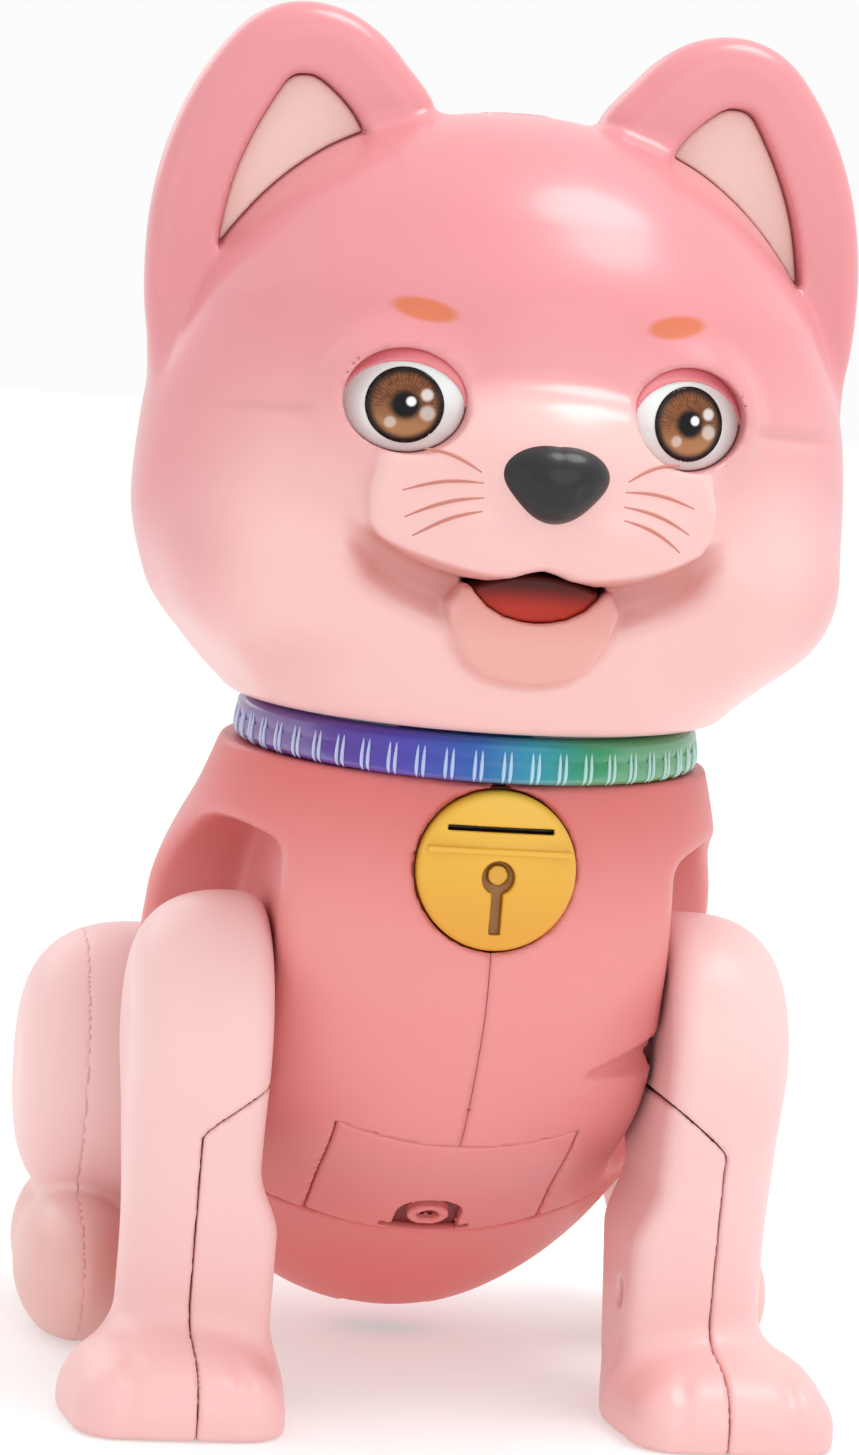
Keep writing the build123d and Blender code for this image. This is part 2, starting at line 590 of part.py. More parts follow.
with BuildPart() as head_back_shell:
    add(head_shell.part)
    add(block((-90, 90), (-90, HEAD_SPLIT_Y + SEAM / 2), (90, 260)), mode=Mode.SUBTRACT)
export(head_back_shell, "head_back_shell")

with BuildPart() as ear_insert:
    add(ear_insert_form)
export_pair(ear_insert, "ear_insert")

with BuildPart() as eye_white:
    with BuildSketch(front_plane(-51.6)):
        with Locations((EYE_X, EYE_Z)):
            Ellipse(EYE_HALF_WIDTH, EYE_HALF_HEIGHT)
    extrude(amount=-EYE_FRONT_Y - 51.6)
export_pair(eye_white, "eye_white")

with BuildPart() as iris:
    add(cylinder_y(EYE_X, EYE_Z, IRIS_R, EYE_FRONT_Y - 1.2, EYE_FRONT_Y))
    chamfer(iris.faces().sort_by(Axis.Y)[0].edges(), 0.4)
export_pair(iris, "iris")

with BuildPart() as nose:
    add(ellipsoid(NOSE_CENTRE, NOSE_RADII))
    add(ellipsoid(MUZZLE_CENTRE, MUZZLE_RADII, -0.05), mode=Mode.SUBTRACT)
export(nose, "nose")

with BuildPart() as tongue:
    with BuildSketch(front_plane(-60)):
        with Locations((0, MOUTH_Z)):
            Ellipse(MOUTH_HALF_WIDTH, MOUTH_HALF_HEIGHT)
    extrude(amount=8.5)
export(tongue, "tongue")

with BuildPart() as head_board:
    with BuildSketch(front_plane(-50)):
        with Locations((0, 178)):
            RectangleRounded(66, 34, 3)
    extrude(amount=BOARD_THICKNESS)
    for x, z, width, height in ((0, 184, 12, 12), (-12, 168, 8, 6), (14, 168, 6, 9)):
        with BuildSketch(front_plane(-46.5)):
            with Locations((x, z)):
                Rectangle(width, height)
        extrude(amount=3.5)
export(head_board, "head_board")

with BuildPart() as head_screws:
    for x, z in HEAD_SCREWS:
        add(cylinder_y(x, z, 3.0, HEAD_SCREW_SEAT_Y, HEAD_SCREW_SEAT_Y + 2))
        add(cylinder_y(x, z, 1.2, -28, HEAD_SCREW_SEAT_Y))
        add(block((x - 2, x + 2), (HEAD_SCREW_SEAT_Y + 1, HEAD_SCREW_SEAT_Y + 3), (z - 0.4, z + 0.4)),
            mode=Mode.SUBTRACT)
        add(block((x - 0.4, x + 0.4), (HEAD_SCREW_SEAT_Y + 1, HEAD_SCREW_SEAT_Y + 3), (z - 2, z + 2)),
            mode=Mode.SUBTRACT)
export(head_screws, "head_screws")

# ---- front legs ---------------------------------------------------------------------------------------------
FRONT_SHANK = [(-40, 64), (-41.5, 40), (-39, 16), (-13, 16), (-9, 40), (-2, 62)]
FRONT_FOOT = [(-14, 0.8), (-11.5, 8), (-13, 17), (-38, 20), (-51, 16), (-59, 9), (-58, 0.8)]
HIND_FOOT = [(6, 0), (-0.5, 4), (-0.5, 14), (7, 24), (26, 30), (56, 28), (62, 14), (60, 0)]
sole_z = 2.2


def leg_solid(parts, inset, edge_round):
    """A leg form: each part is a side outline, a hub circle or None, and the X range it fills."""
    solids = []
    for outline, hub, x_low, x_high in parts:
        with BuildPart() as slab:
            with BuildSketch(side_plane(x_low + inset)) as side:
                with BuildLine():
                    Polyline(outline, close=True)
                make_face()
                if hub:
                    with Locations((hub[0].Y, hub[0].Z)):
                        Circle(hub[1])
                fillet(side.vertices(), 3)
                if inset:
                    offset(amount=-inset)
            extrude(amount=x_high - x_low - 2 * inset)
            ends = slab.faces().sort_by(Axis.X)
            fillet(ends[0].edges() + ends[-1].edges(), edge_round)
        solids.append(slab.part)
    return solids[0] + solids[1]


front_parts = [
    (FRONT_SHANK, (FRONT_PIVOT, FRONT_HUB_R), FRONT_INNER_X, FRONT_OUTER_X),
    (FRONT_FOOT, None, FRONT_FOOT_INNER_X, FRONT_FOOT_OUTER_X),
]
front_outer = leg_solid(front_parts, 0, 5.0)
front_cavity = leg_solid(front_parts, WALL, 3.0)
front_pad_form = block((34, 60), (-55, -17), (0, sole_z))
with BuildPart() as front_leg:
    add(front_outer)
    add(front_cavity, mode=Mode.SUBTRACT)
    for y, z in FRONT_LEG_SCREWS:
        add(cylinder_x(y, z, 3.9, FRONT_INNER_X + 1, FRONT_OUTER_X - 1) & front_outer)
        add(cylinder_x(y, z, 2.8, FRONT_INNER_X - 8, FRONT_INNER_X + 4), mode=Mode.SUBTRACT)
        add(cylinder_x(y, z, 1.2, FRONT_INNER_X, FRONT_OUTER_X - 5), mode=Mode.SUBTRACT)
    add(cylinder_x(FRONT_PIVOT.Y, FRONT_PIVOT.Z, SHAFT_R + SLIP, 20, FRONT_INNER_X + 5), mode=Mode.SUBTRACT)
    add(front_pad_form & block((30, 70), (-70, 0), (0.5, 5)))
    add(block((34 - SLIP, 60 + SLIP), (-55 - SLIP, -17 + SLIP), (-1, sole_z + SLIP)), mode=Mode.SUBTRACT)

hind_parts = [
    ([(14, 40), (14, 30), (20, 10), (60, 10), (68, 30), (68, 44)], (HIND_PIVOT, HIND_HUB_R), HIND_INNER_X, HIND_OUTER_X),
    (HIND_FOOT, None, HIND_FOOT_INNER_X, HIND_OUTER_X - 0.3),
]
hind_outer = leg_solid(hind_parts, 0, 5.0)
hind_cavity = leg_solid(hind_parts, WALL, 3.0)
with BuildPart() as hind_leg:
    add(hind_outer)
    add(hind_cavity, mode=Mode.SUBTRACT)
    add(cylinder_x(HIND_PIVOT.Y, HIND_PIVOT.Z, SHAFT_R + SLIP, 30, HIND_INNER_X + 5), mode=Mode.SUBTRACT)

for form, name, seam_x in ((front_leg, "front_leg", FRONT_SEAM_X), (hind_leg, "hind_leg", HIND_SEAM_X)):
    with BuildPart() as outer_half:
        add(form.part)
        split(bisect_by=Plane.YZ.offset(seam_x + SEAM / 2), keep=Keep.TOP)
    export_pair(outer_half, f"{name}_outer")
    with BuildPart() as inner_half:
        add(form.part)
        split(bisect_by=Plane.YZ.offset(seam_x - SEAM / 2), keep=Keep.BOTTOM)
    export_pair(inner_half, f"{name}_inner")

with BuildPart() as front_foot_pad:
    add(front_pad_form)
    fillet(front_foot_pad.edges().filter_by(Axis.Z), 6)
export_pair(front_foot_pad, "front_foot_pad")


def shaft_horn(pivot, inner_x, shaft_end):
    """A drive horn inside a leg's inner wall, with the shaft that reaches into the servo."""
    with BuildPart() as horn:
        add(cylinder_x(pivot.Y, pivot.Z, 12, inner_x + WALL + SLIP, inner_x + WALL + 2.1))
        add(cylinder_x(pivot.Y, pivot.Z, SHAFT_R, shaft_end, inner_x + WALL + 2))
    return horn


export_pair(shaft_horn(FRONT_PIVOT, FRONT_INNER_X, SHOULDER_SERVO_X[1] - 4), "shoulder_horn")
export_pair(shaft_horn(HIND_PIVOT, HIND_INNER_X, HIP_SERVO_X[1] - 4), "hip_horn")

with BuildPart() as front_leg_screws:
    for y, z in FRONT_LEG_SCREWS:
        add(cylinder_x(y, z, 2.5, FRONT_INNER_X + 2.2, FRONT_INNER_X + 4))
        add(cylinder_x(y, z, 1.1, FRONT_INNER_X + 4, FRONT_OUTER_X - 6))
export_pair(front_leg_screws, "front_leg_screws")
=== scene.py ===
"""Looks of the sitting robot dog toy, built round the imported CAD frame.

Lengths in the form functions are millimetres in the CAD frame: +Z up, the dog looks along -Y, +X is its left.
Each moulded piece is a signed distance function, polygonised on a grid and pulled onto its true surface.
"""

import json
import math

import bpy
import numpy as np
from mathutils import Matrix, Vector


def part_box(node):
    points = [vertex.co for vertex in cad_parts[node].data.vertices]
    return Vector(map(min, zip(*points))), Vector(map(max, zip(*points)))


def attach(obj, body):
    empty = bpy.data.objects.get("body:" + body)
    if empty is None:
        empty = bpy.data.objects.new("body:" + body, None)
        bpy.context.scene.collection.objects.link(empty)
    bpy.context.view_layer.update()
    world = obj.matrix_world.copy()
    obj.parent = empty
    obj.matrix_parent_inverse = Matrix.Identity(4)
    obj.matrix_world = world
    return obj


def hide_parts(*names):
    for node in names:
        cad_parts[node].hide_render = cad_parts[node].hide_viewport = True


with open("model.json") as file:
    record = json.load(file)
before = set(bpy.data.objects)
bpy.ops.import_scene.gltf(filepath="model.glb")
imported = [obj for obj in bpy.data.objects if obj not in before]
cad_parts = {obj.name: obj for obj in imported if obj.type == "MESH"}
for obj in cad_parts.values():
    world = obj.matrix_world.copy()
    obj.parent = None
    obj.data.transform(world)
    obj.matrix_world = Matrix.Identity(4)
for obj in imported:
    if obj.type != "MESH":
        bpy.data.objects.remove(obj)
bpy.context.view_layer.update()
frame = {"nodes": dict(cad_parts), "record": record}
MM = 0.001


# ---- places read from the CAD frame --------------------
def node_middle(name):
    """The middle of a CAD node's box, in millimetres."""
    low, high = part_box(name)
    return (np.array(low) + np.array(high)) / 2 / MM


def joint_anchor(name):
    """A joint's anchor point, in millimetres."""
    for joint in frame["record"]["behaviour"]["joints"]:
        if joint["name"] == name:
            return np.array(joint["pos_m"]) / MM
    raise ValueError(name)


NECK = joint_anchor("head_turn")
SHOULDER = joint_anchor("front_leg_left_swing")
HIP = joint_anchor("hind_leg_left_swing")
BELL = node_middle("bell_button")
BELL_FRONT_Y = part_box("bell_button")[0].y / MM
EYE = node_middle("iris_left")
EYE_OPENING_Z = EYE[2] + 0.7

LEAN = math.radians(35)
AXIS_DOWN = np.array([0, math.sin(LEAN), -math.cos(LEAN)])
AXIS_BACK = np.array([0, math.cos(LEAN), math.sin(LEAN)])
NECK_TILT = math.radians(3)
NECK_UP = np.array([0, -math.sin(NECK_TILT), math.cos(NECK_TILT)])
DOOR_SLOPE = math.radians(34.5)
DOOR_TOP = np.array([0, -31.0, 51.0])
DOOR_WIDTH, DOOR_LENGTH = 43.0, 37.0
DOOR_DOWN = np.array([0, math.cos(DOOR_SLOPE), -math.sin(DOOR_SLOPE)])
DOOR_OUT = np.array([0, -math.sin(DOOR_SLOPE), -math.cos(DOOR_SLOPE)])
SEAT_SPLIT = 80.0
POCKET_R, POCKET_X = 36.5, 34.6
HIP_FLAT_X, HIP_R = 46.0, 30.0
COLLAR_HALF = 4.0
WALL = 2.2
GAP = 0.09
HEAD_SPLIT_Y = -10.5
SCREW_HEAD_R = 2.4
SCREW_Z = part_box("front_leg_screws_left")[0].z / MM + SCREW_HEAD_R
SHAFT_HOLE_R, SHOULDER_HOLE_X, HIP_HOLE_X = 7.4, 25.0, 38.0
BELL_HOLE_R, BELL_HOLE_BACK_Y = 14.1, -38.0
TAB_ARCH, TAB_SCREW, TAB_SLOT = 29.6, 30.8, 35.2  # down the door from its upper edge
EYE_HALF = (10.0, 8.6)
LID_HALF = (9.9, 7.9)
IRIS_R = 6.25


# ---- distance functions --------------------
def folded(p):
    """The places with the dog's right side laid over its left."""
    return np.stack([np.abs(p[:, 0]), p[:, 1], p[:, 2]], -1)


def ease(value, low, high):
    """0 below low, 1 above high, smooth between."""
    t = np.clip((value - low) / (high - low), 0, 1)
    return t * t * (3 - 2 * t)


def ellipsoid(p, centre, radii):
    q = p - np.asarray(centre, np.float32)
    radii = np.asarray(radii, np.float32)
    k0 = np.linalg.norm(q / radii, axis=-1)
    k1 = np.linalg.norm(q / radii**2, axis=-1)
    return k0 * (k0 - 1) / np.maximum(k1, 1e-6)


def capsule(p, a, b, radius_a, radius_b=None):
    """A bar with round ends, which may taper."""
    radius_b = radius_a if radius_b is None else radius_b
    a, b = np.asarray(a, np.float32), np.asarray(b, np.float32)
    t = np.clip(((p - a) @ (b - a)) / ((b - a) @ (b - a)), 0, 1)
    return np.linalg.norm(p - a - t[:, None] * (b - a), axis=-1) - (radius_a + (radius_b - radius_a) * t)


def box(p, centre, half, rounding=0.5):
    q = np.abs(p - np.asarray(centre, np.float32)) - np.asarray(half, np.float32) + rounding
    return np.linalg.norm(np.maximum(q, 0), axis=-1) + np.minimum(q.max(axis=-1), 0) - rounding


def join(a, b, k):
    """Union with a soft blend of width k."""
    h = np.clip(0.5 + 0.5 * (b - a) / k, 0, 1)
    return b + (a - b) * h - k * h * (1 - h)


def common(a, b, k):
    """Intersection with an edge rounded by k."""
    return -join(-a, -b, k)


def cut(a, b, k):
    """a without b, with an edge rounded by k."""
    return -join(-a, b, k)


def polygon(u, v, points):
    """Signed distance to a closed polygon in the plane."""
    points = np.asarray(points, np.float32)
    nearest = np.full(u.shape, 1e9, np.float32)
    inside = np.zeros(u.shape, bool)
    for (ax, ay), (bx, by) in zip(points, np.roll(points, -1, axis=0)):
        ex, ey = bx - ax, by - ay
        wx, wy = u - ax, v - ay
        t = np.clip((wx * ex + wy * ey) / (ex * ex + ey * ey), 0, 1)
        nearest = np.minimum(nearest, (wx - ex * t) ** 2 + (wy - ey * t) ** 2)
        crosses = (ay > v) != (by > v)
        at = ax + (v - ay) / (by - ay if by != ay else 1e-9) * ex
        inside ^= crosses & (u < at)
    return np.where(inside, -1, 1) * np.sqrt(nearest)


def smooth_outline(points, each=6):
    """A closed smooth outline through given points (Catmull-Rom)."""
    p1 = np.asarray(points, float)
    p0, p2, p3 = np.roll(p1, 1, 0), np.roll(p1, -1, 0), np.roll(p1, -2, 0)
    rows = []
    for t in np.arange(each) / each:
        cubic = t * (3 * (p1 - p2) + p3 - p0)
        rows.append(p1 + 0.5 * t * (p2 - p0 + t * (2 * p0 - 5 * p1 + 4 * p2 - p3 + cubic)))
    return np.stack(rows, 1).reshape(-1, 2)


def front_of(form, x, z, near=-95.0, far=-10.0):
    """The Y at which a form's front surface lies, for places given by x and z."""
    low, high = np.full(len(x), near), np.full(len(x), far)
    for _ in range(26):
        middle = (low + high) / 2
        inside = form(np.stack([x, middle, z], -1).astype(np.float32)) < 0
        high, low = np.where(inside, middle, high), np.where(inside, low, middle)
    return (low + high) / 2


def smooth_table(stations, column, samples):
    """A smooth curve through one column of a station table, by monotone cubic interpolation."""
    x = np.array([row[0] for row in stations], float)
    y = np.array([row[column] for row in stations], float)
    slope = np.diff(y) / np.diff(x)
    tangent = np.zeros_like(y)
    for i in range(1, len(y) - 1):
        if slope[i - 1] * slope[i] > 0:
            tangent[i] = 2 * slope[i - 1] * slope[i] / (slope[i - 1] + slope[i])
    tangent[0], tangent[-1] = slope[0], slope[-1]
    i = np.clip(np.searchsorted(x, samples) - 1, 0, len(x) - 2)
    width = x[i + 1] - x[i]
    t = (samples - x[i]) / width
    return (
        (2 * t**3 - 3 * t**2 + 1) * y[i]
        + (t**3 - 2 * t**2 + t) * width * tangent[i]
        + (3 * t**2 - 2 * t**3) * y[i + 1]
        + (t**3 - t**2) * width * tangent[i + 1]
    )


class Loft:
    """A closed form of elliptical sections along one axis, from a table of station, half width, low, high."""

    def __init__(self, stations):
        rows = [(s, a * a, ((hi - lo) / 2) ** 2, (hi + lo) / 2) for s, a, lo, hi in stations]
        self.samples = np.linspace(stations[0][0], stations[-1][0], 800)
        self.width2 = smooth_table(rows, 1, self.samples)
        self.height2 = smooth_table(rows, 2, self.samples)
        self.middle = smooth_table(rows, 3, self.samples)

    def distance(self, across, along, up):
        a2 = np.maximum(np.interp(along, self.samples, self.width2), 0.04)
        b2 = np.maximum(np.interp(along, self.samples, self.height2), 0.04)
        v = up - np.interp(along, self.samples, self.middle)
        k0 = np.sqrt(across**2 / a2 + v**2 / b2)
        k1 = np.sqrt(across**2 / a2**2 + v**2 / b2**2)
        side = k0 * (k0 - 1) / np.maximum(k1, 1e-6)
        width_slope = np.gradient(np.sqrt(np.maximum(self.width2, 0.04)), self.samples)
        slope = np.interp(along, self.samples, width_slope)
        side = side / np.sqrt(1 + np.minimum(slope**2, 9))
        ends = np.maximum(self.samples[0] - along, along - self.samples[-1])
        return np.maximum(side, ends).astype(np.float32)


TORSO = Loft([
    (-16, 35.0, -35, 28), (0, 42.5, -47, 33), (20, 48.3, -57.9, 36), (42, 53.5, -60.0, 39.5),
    (70, 52.0, -50.4, 42), (95, 46.0, -41.5, 38.5), (115, 33.0, -33.0, 26), (125, 19.5, -22.3, 13),
    (129.5, 1.0, -4.0, -2),
])
HEAD = Loft([
    (108, 22.0, -36, 6), (117, 35.0, -50, 16), (124, 43.5, -57, 22), (132, 51.5, -61.5, 27.5),
    (143, 59.6, -66, 31.5), (158, 62.9, -69, 34), (172, 62.0, -69, 34), (192, 56.0, -66, 31),
    (207, 46.5, -58, 24), (218, 34.5, -47, 13), (225, 17.5, -33, -3), (227.2, 1.0, -19, -17),
])


# ---- polygonising --------------------
def slope_of(field, places, reach=0.05):
    """A field's value and its gradient at some places."""
    value = field(places.astype(np.float32))
    ahead = [field((places + np.eye(3)[n] * reach).astype(np.float32)) for n in range(3)]
    return value, np.stack([a - value for a in ahead], -1) / reach


def surface(distance, low, high, step):
    """Polygonises distance <= 0 with surface nets, then pulls every vertex onto the true surface."""
    axes = [np.arange(lo - 2 * step, hi + 3 * step, step, dtype=np.float32) for lo, hi in zip(low, high)]
    shape = tuple(len(a) for a in axes)
    field = np.empty(shape, np.float32)
    plane = np.stack(np.meshgrid(axes[1], axes[2], indexing="ij"), -1).reshape(-1, 2)
    slabs = max(1, 400_000 // len(plane))
    for i in range(0, shape[0], slabs):
        xs = axes[0][i : i + slabs]
        points = np.empty((len(xs), len(plane), 3), np.float32)
        points[..., 0] = xs[:, None]
        points[..., 1:] = plane
        field[i : i + slabs] = distance(points.reshape(-1, 3)).reshape(len(xs), *shape[1:])
    inside = field < 0
    corners = [(i, j, k) for i in (0, 1) for j in (0, 1) for k in (0, 1)]
    count = sum(inside[i : shape[0] - 1 + i, j : shape[1] - 1 + j, k : shape[2] - 1 + k].astype(np.int8)
                for i, j, k in corners)
    cells = np.argwhere((count > 0) & (count < 8))
    index = np.full(count.shape, -1, np.int64)
    index[tuple(cells.T)] = np.arange(len(cells))
    total = np.zeros((len(cells), 3))
    hits = np.zeros(len(cells))
    for a in corners:
        for axis in range(3):
            if a[axis]:
                continue
            b = tuple(c + (n == axis) for n, c in enumerate(a))
            fa = field[tuple((cells + a).T)]
            fb = field[tuple((cells + b).T)]
            crosses = (fa < 0) != (fb < 0)
            t = np.where(crosses, fa / np.where(crosses, fa - fb, 1), 0)
            where = np.asarray(a, float) + np.eye(3)[axis] * t[:, None]
            total += where * crosses[:, None]
            hits += crosses
    vertices = (cells + total / hits[:, None]) * step + [a[0] for a in axes]
    quads = []
    for axis in range(3):
        u, v = (axis + 1) % 3, (axis + 2) % 3
        first = [slice(1, -1)] * 3
        first[axis] = slice(0, -1)
        second = list(first)
        second[axis] = slice(1, None)
        crosses = inside[tuple(first)] != inside[tuple(second)]
        at = np.argwhere(crosses) + [0 if n == axis else 1 for n in range(3)]
        outwards = inside[tuple(at.T)]
        back_u, back_v = np.eye(3, dtype=int)[u], np.eye(3, dtype=int)[v]
        ring = [index[tuple((at - d).T)] for d in (back_u + back_v, back_v, 0 * back_u, back_u)]
        faces = np.stack(ring, -1)
        faces[~outwards] = faces[~outwards][:, ::-1]
        quads.append(faces)
    quads = np.concatenate(quads)
    start = vertices.copy()
    for _ in range(4):
        d, gradient = slope_of(distance, vertices)
        size2 = np.maximum((gradient**2).sum(-1), 0.05)
        vertices -= np.clip(d / size2, -step, step)[:, None] * gradient
        vertices = start + np.clip(vertices - start, -0.9 * step, 0.9 * step)
    return vertices, quads


SHARPEN_REACH = 0.72


def sharpen(shape, form, seam, step):
    """Pulls the vertices beside a parting line onto both of the surfaces that meet there."""
    vertices, faces = shape
    for _ in range(3):
        places = vertices.astype(np.float32)
        away = np.maximum(np.abs(form(places)), np.abs(seam(places)))
        near = np.flatnonzero(away < SHARPEN_REACH * step)
        f, df = slope_of(form, vertices[near])
        g, dg = slope_of(seam, vertices[near])
        ff, fg, gg = (df * df).sum(-1), (df * dg).sum(-1), (dg * dg).sum(-1)
        area = np.maximum(ff * gg - fg * fg, 0.05)
        along_f, along_g = (g * fg - f * gg) / area, (f * fg - g * ff) / area
        move = along_f[:, None] * df + along_g[:, None] * dg
        vertices[near] += np.clip(move, -0.9 * step, 0.9 * step)
    return vertices, faces


def mesh_piece(name, shape, body, replaced=(), material=None):
    """Makes one shown piece from a shape's vertices, in millimetres, and faces; it rides on a CAD body."""
    vertices, faces = shape
    mesh = bpy.data.meshes.new(name)
    mesh.from_pydata(np.asarray(vertices, np.float32) * MM, [], faces, shade_flat=False)
    mesh.validate()
    mesh.materials.append(material)
    piece = bpy.data.objects.new(name, mesh)
    bpy.context.collection.objects.link(piece)
    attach(piece, body)
    if replaced:
        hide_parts(*replaced)


def mesh_pair(name, shape, body, replaced, material):
    """A piece on the dog's left and its mirror image on the right; {} in a name stands for the side."""
    vertices, faces = shape
    for side, half in (("left", shape), ("right", (vertices * [-1, 1, 1], faces[:, ::-1]))):
        nodes = [node.format(side) for node in replaced]
        finish = material[side] if isinstance(material, dict) else material
        mesh_piece(name.format(side), half, body.format(side), nodes, finish)


# ---- materials --------------------
class Nodes:
    """Short helpers for building one node material."""

    def __init__(self, name):
        self.material = bpy.data.materials.new(name)
        self.material.use_nodes = True
        self.tree = self.material.node_tree
        self.shader = self.tree.nodes["Principled BSDF"]
        self.place = self.tree.nodes.new("ShaderNodeTexCoord").outputs["Object"]
        self.xyz = self.tree.nodes.new("ShaderNodeSeparateXYZ")
        self.link(self.place, self.xyz.inputs[0])

    def link(self, a, b):
        self.tree.links.new(a, b)

    def set(self, socket, value):
        self.shader.inputs[socket].default_value = value

    def feed(self, socket, value):
        if isinstance(value, (int, float)):
            socket.default_value = value
        else:
            self.link(value, socket)

    def math(self, operation, a, b=0.0, clamp=False):
        node = self.tree.nodes.new("ShaderNodeMath")
        node.operation, node.use_clamp = operation, clamp
        self.feed(node.inputs[0], a)
        self.feed(node.inputs[1], b)
        return node.outputs[0]

    def minus(self, a, b):
        return self.math("SUBTRACT", a, b)

    def times(self, product, *factors):
        for factor in factors:
            product = self.math("MULTIPLY", product, factor)
        return product

    def length(self, u, v):
        return self.math("SQRT", self.math("ADD", self.times(u, u), self.times(v, v)))

    def ramp(self, value, low, high):
        """0 at low, 1 at high, smooth between."""
        node = self.tree.nodes.new("ShaderNodeMapRange")
        node.interpolation_type = "SMOOTHSTEP"
        self.feed(node.inputs["Value"], value)
        node.inputs["From Min"].default_value, node.inputs["From Max"].default_value = low, high
        return node.outputs[0]

    def noise(self, scale, detail=3.0):
        node = self.tree.nodes.new("ShaderNodeTexNoise")
        self.link(self.place, node.inputs["Vector"])
        node.inputs["Scale"].default_value, node.inputs["Detail"].default_value = scale, detail
        return node.outputs["Fac"]

    def mix(self, factor, a, b):
        node = self.tree.nodes.new("ShaderNodeMix")
        node.data_type = "RGBA"
        self.feed(node.inputs[0], factor)
        for socket, value in ((node.inputs[6], a), (node.inputs[7], b)):
            if isinstance(value, tuple):
                socket.default_value = (*value, 1)
            else:
                self.link(value, socket)
        return node.outputs[2]

    def spot(self, x, z, half_x, half_z, core=0.55, lean=0.0):
        """1 inside an ellipse on either side of the face, 0 outside; its soft edge starts at core."""
        aside = self.minus(self.math("ABSOLUTE", self.xyz.outputs[0]), x * MM)
        up = self.minus(self.xyz.outputs[2], self.times(aside, lean))
        u = self.math("DIVIDE", aside, half_x * MM)
        v = self.math("DIVIDE", self.minus(up, z * MM), half_z * MM)
        return self.ramp(self.length(u, v), 1.0, core)

    def paint(self, colour, over, mask, strength=1.0):
        """Lays one colour over another where the mask is 1."""
        return self.mix(mask if strength == 1.0 else self.times(mask, strength), colour, over)

    def finish(self, colour, roughness, bump=0.02, grain=1800.0, coat=0.0):
        """Moulded plastic: slight roughness drift and a fine surface grain."""
        if isinstance(colour, tuple):
            self.set("Base Color", (*colour, 1))
        else:
            self.link(colour, self.shader.inputs["Base Color"])
        drift = self.noise(45.0, 2.0)
        span = self.tree.nodes.new("ShaderNodeMapRange")
        self.link(drift, span.inputs["Value"])
        span.inputs["To Min"].default_value = roughness * 0.85
        span.inputs["To Max"].default_value = roughness * 1.15
        self.link(span.outputs[0], self.shader.inputs["Roughness"])
        if bump:
            node = self.tree.nodes.new("ShaderNodeBump")
            node.inputs["Strength"].default_value = bump
            node.inputs["Distance"].default_value = 0.0002
            self.link(self.noise(grain, 2.0), node.inputs["Height"])
            self.link(node.outputs[0], self.shader.inputs["Normal"])
        self.set("Coat Weight", coat)
        self.set("Coat Roughness", 0.12)
        return self.material


CORAL = (0.75, 0.255, 0.25)
# darker red for the lower body: painted shade where the underside faces down
CORAL_PAINTED_LOW_SHADE = (0.78, 0.135, 0.12)
# dark coral under the collar: painted shadow
CORAL_PAINTED_COLLAR_SHADOW = (0.60, 0.11, 0.10)
PINK = (0.70, 0.248, 0.268)
PALE_PINK = (0.82, 0.485, 0.46)
LIP_PAINTED_SHADOW = (0.54, 0.15, 0.125)
CHIN_SHADE = (0.68, 0.27, 0.215)
MOUTH_PAINTED_SHADE = (0.11, 0.018, 0.013)
SOCKET_PAINTED_SHADE = (0.66, 0.18, 0.19)
BROW = (0.62, 0.145, 0.05)
LEG_PINK = (0.82, 0.47, 0.455)
LEG_PALE = (0.83, 0.53, 0.515)
# tan for the hind foot: painted shade
LEG_PAINTED_SHADE = (0.72, 0.40, 0.35)


def plain(name, colour, roughness, bump=0.05, coat=0.0, specular=0.5):
    nodes = Nodes(name)
    nodes.set("Specular IOR Level", specular)
    low = tuple(c * 0.93 for c in colour)
    return nodes.finish(nodes.mix(nodes.noise(60.0), low, colour), roughness, bump, coat=coat)


def torso_material():
    nodes = Nodes("coral_plastic")
    z = nodes.xyz.outputs[2]
    # darker towards the bottom: painted shade on the downward-facing lower body
    colour = nodes.mix(nodes.ramp(z, 0.002, 0.052), CORAL_PAINTED_LOW_SHADE, CORAL)
    # painted shadow on the torso just under the collar
    colour = nodes.paint(colour, CORAL_PAINTED_COLLAR_SHADOW, nodes.ramp(z, 0.084, 0.116), 0.85)
    colour = nodes.paint(colour, PINK, nodes.noise(30.0), 0.10)
    return nodes.finish(colour, 0.42, coat=0.10)


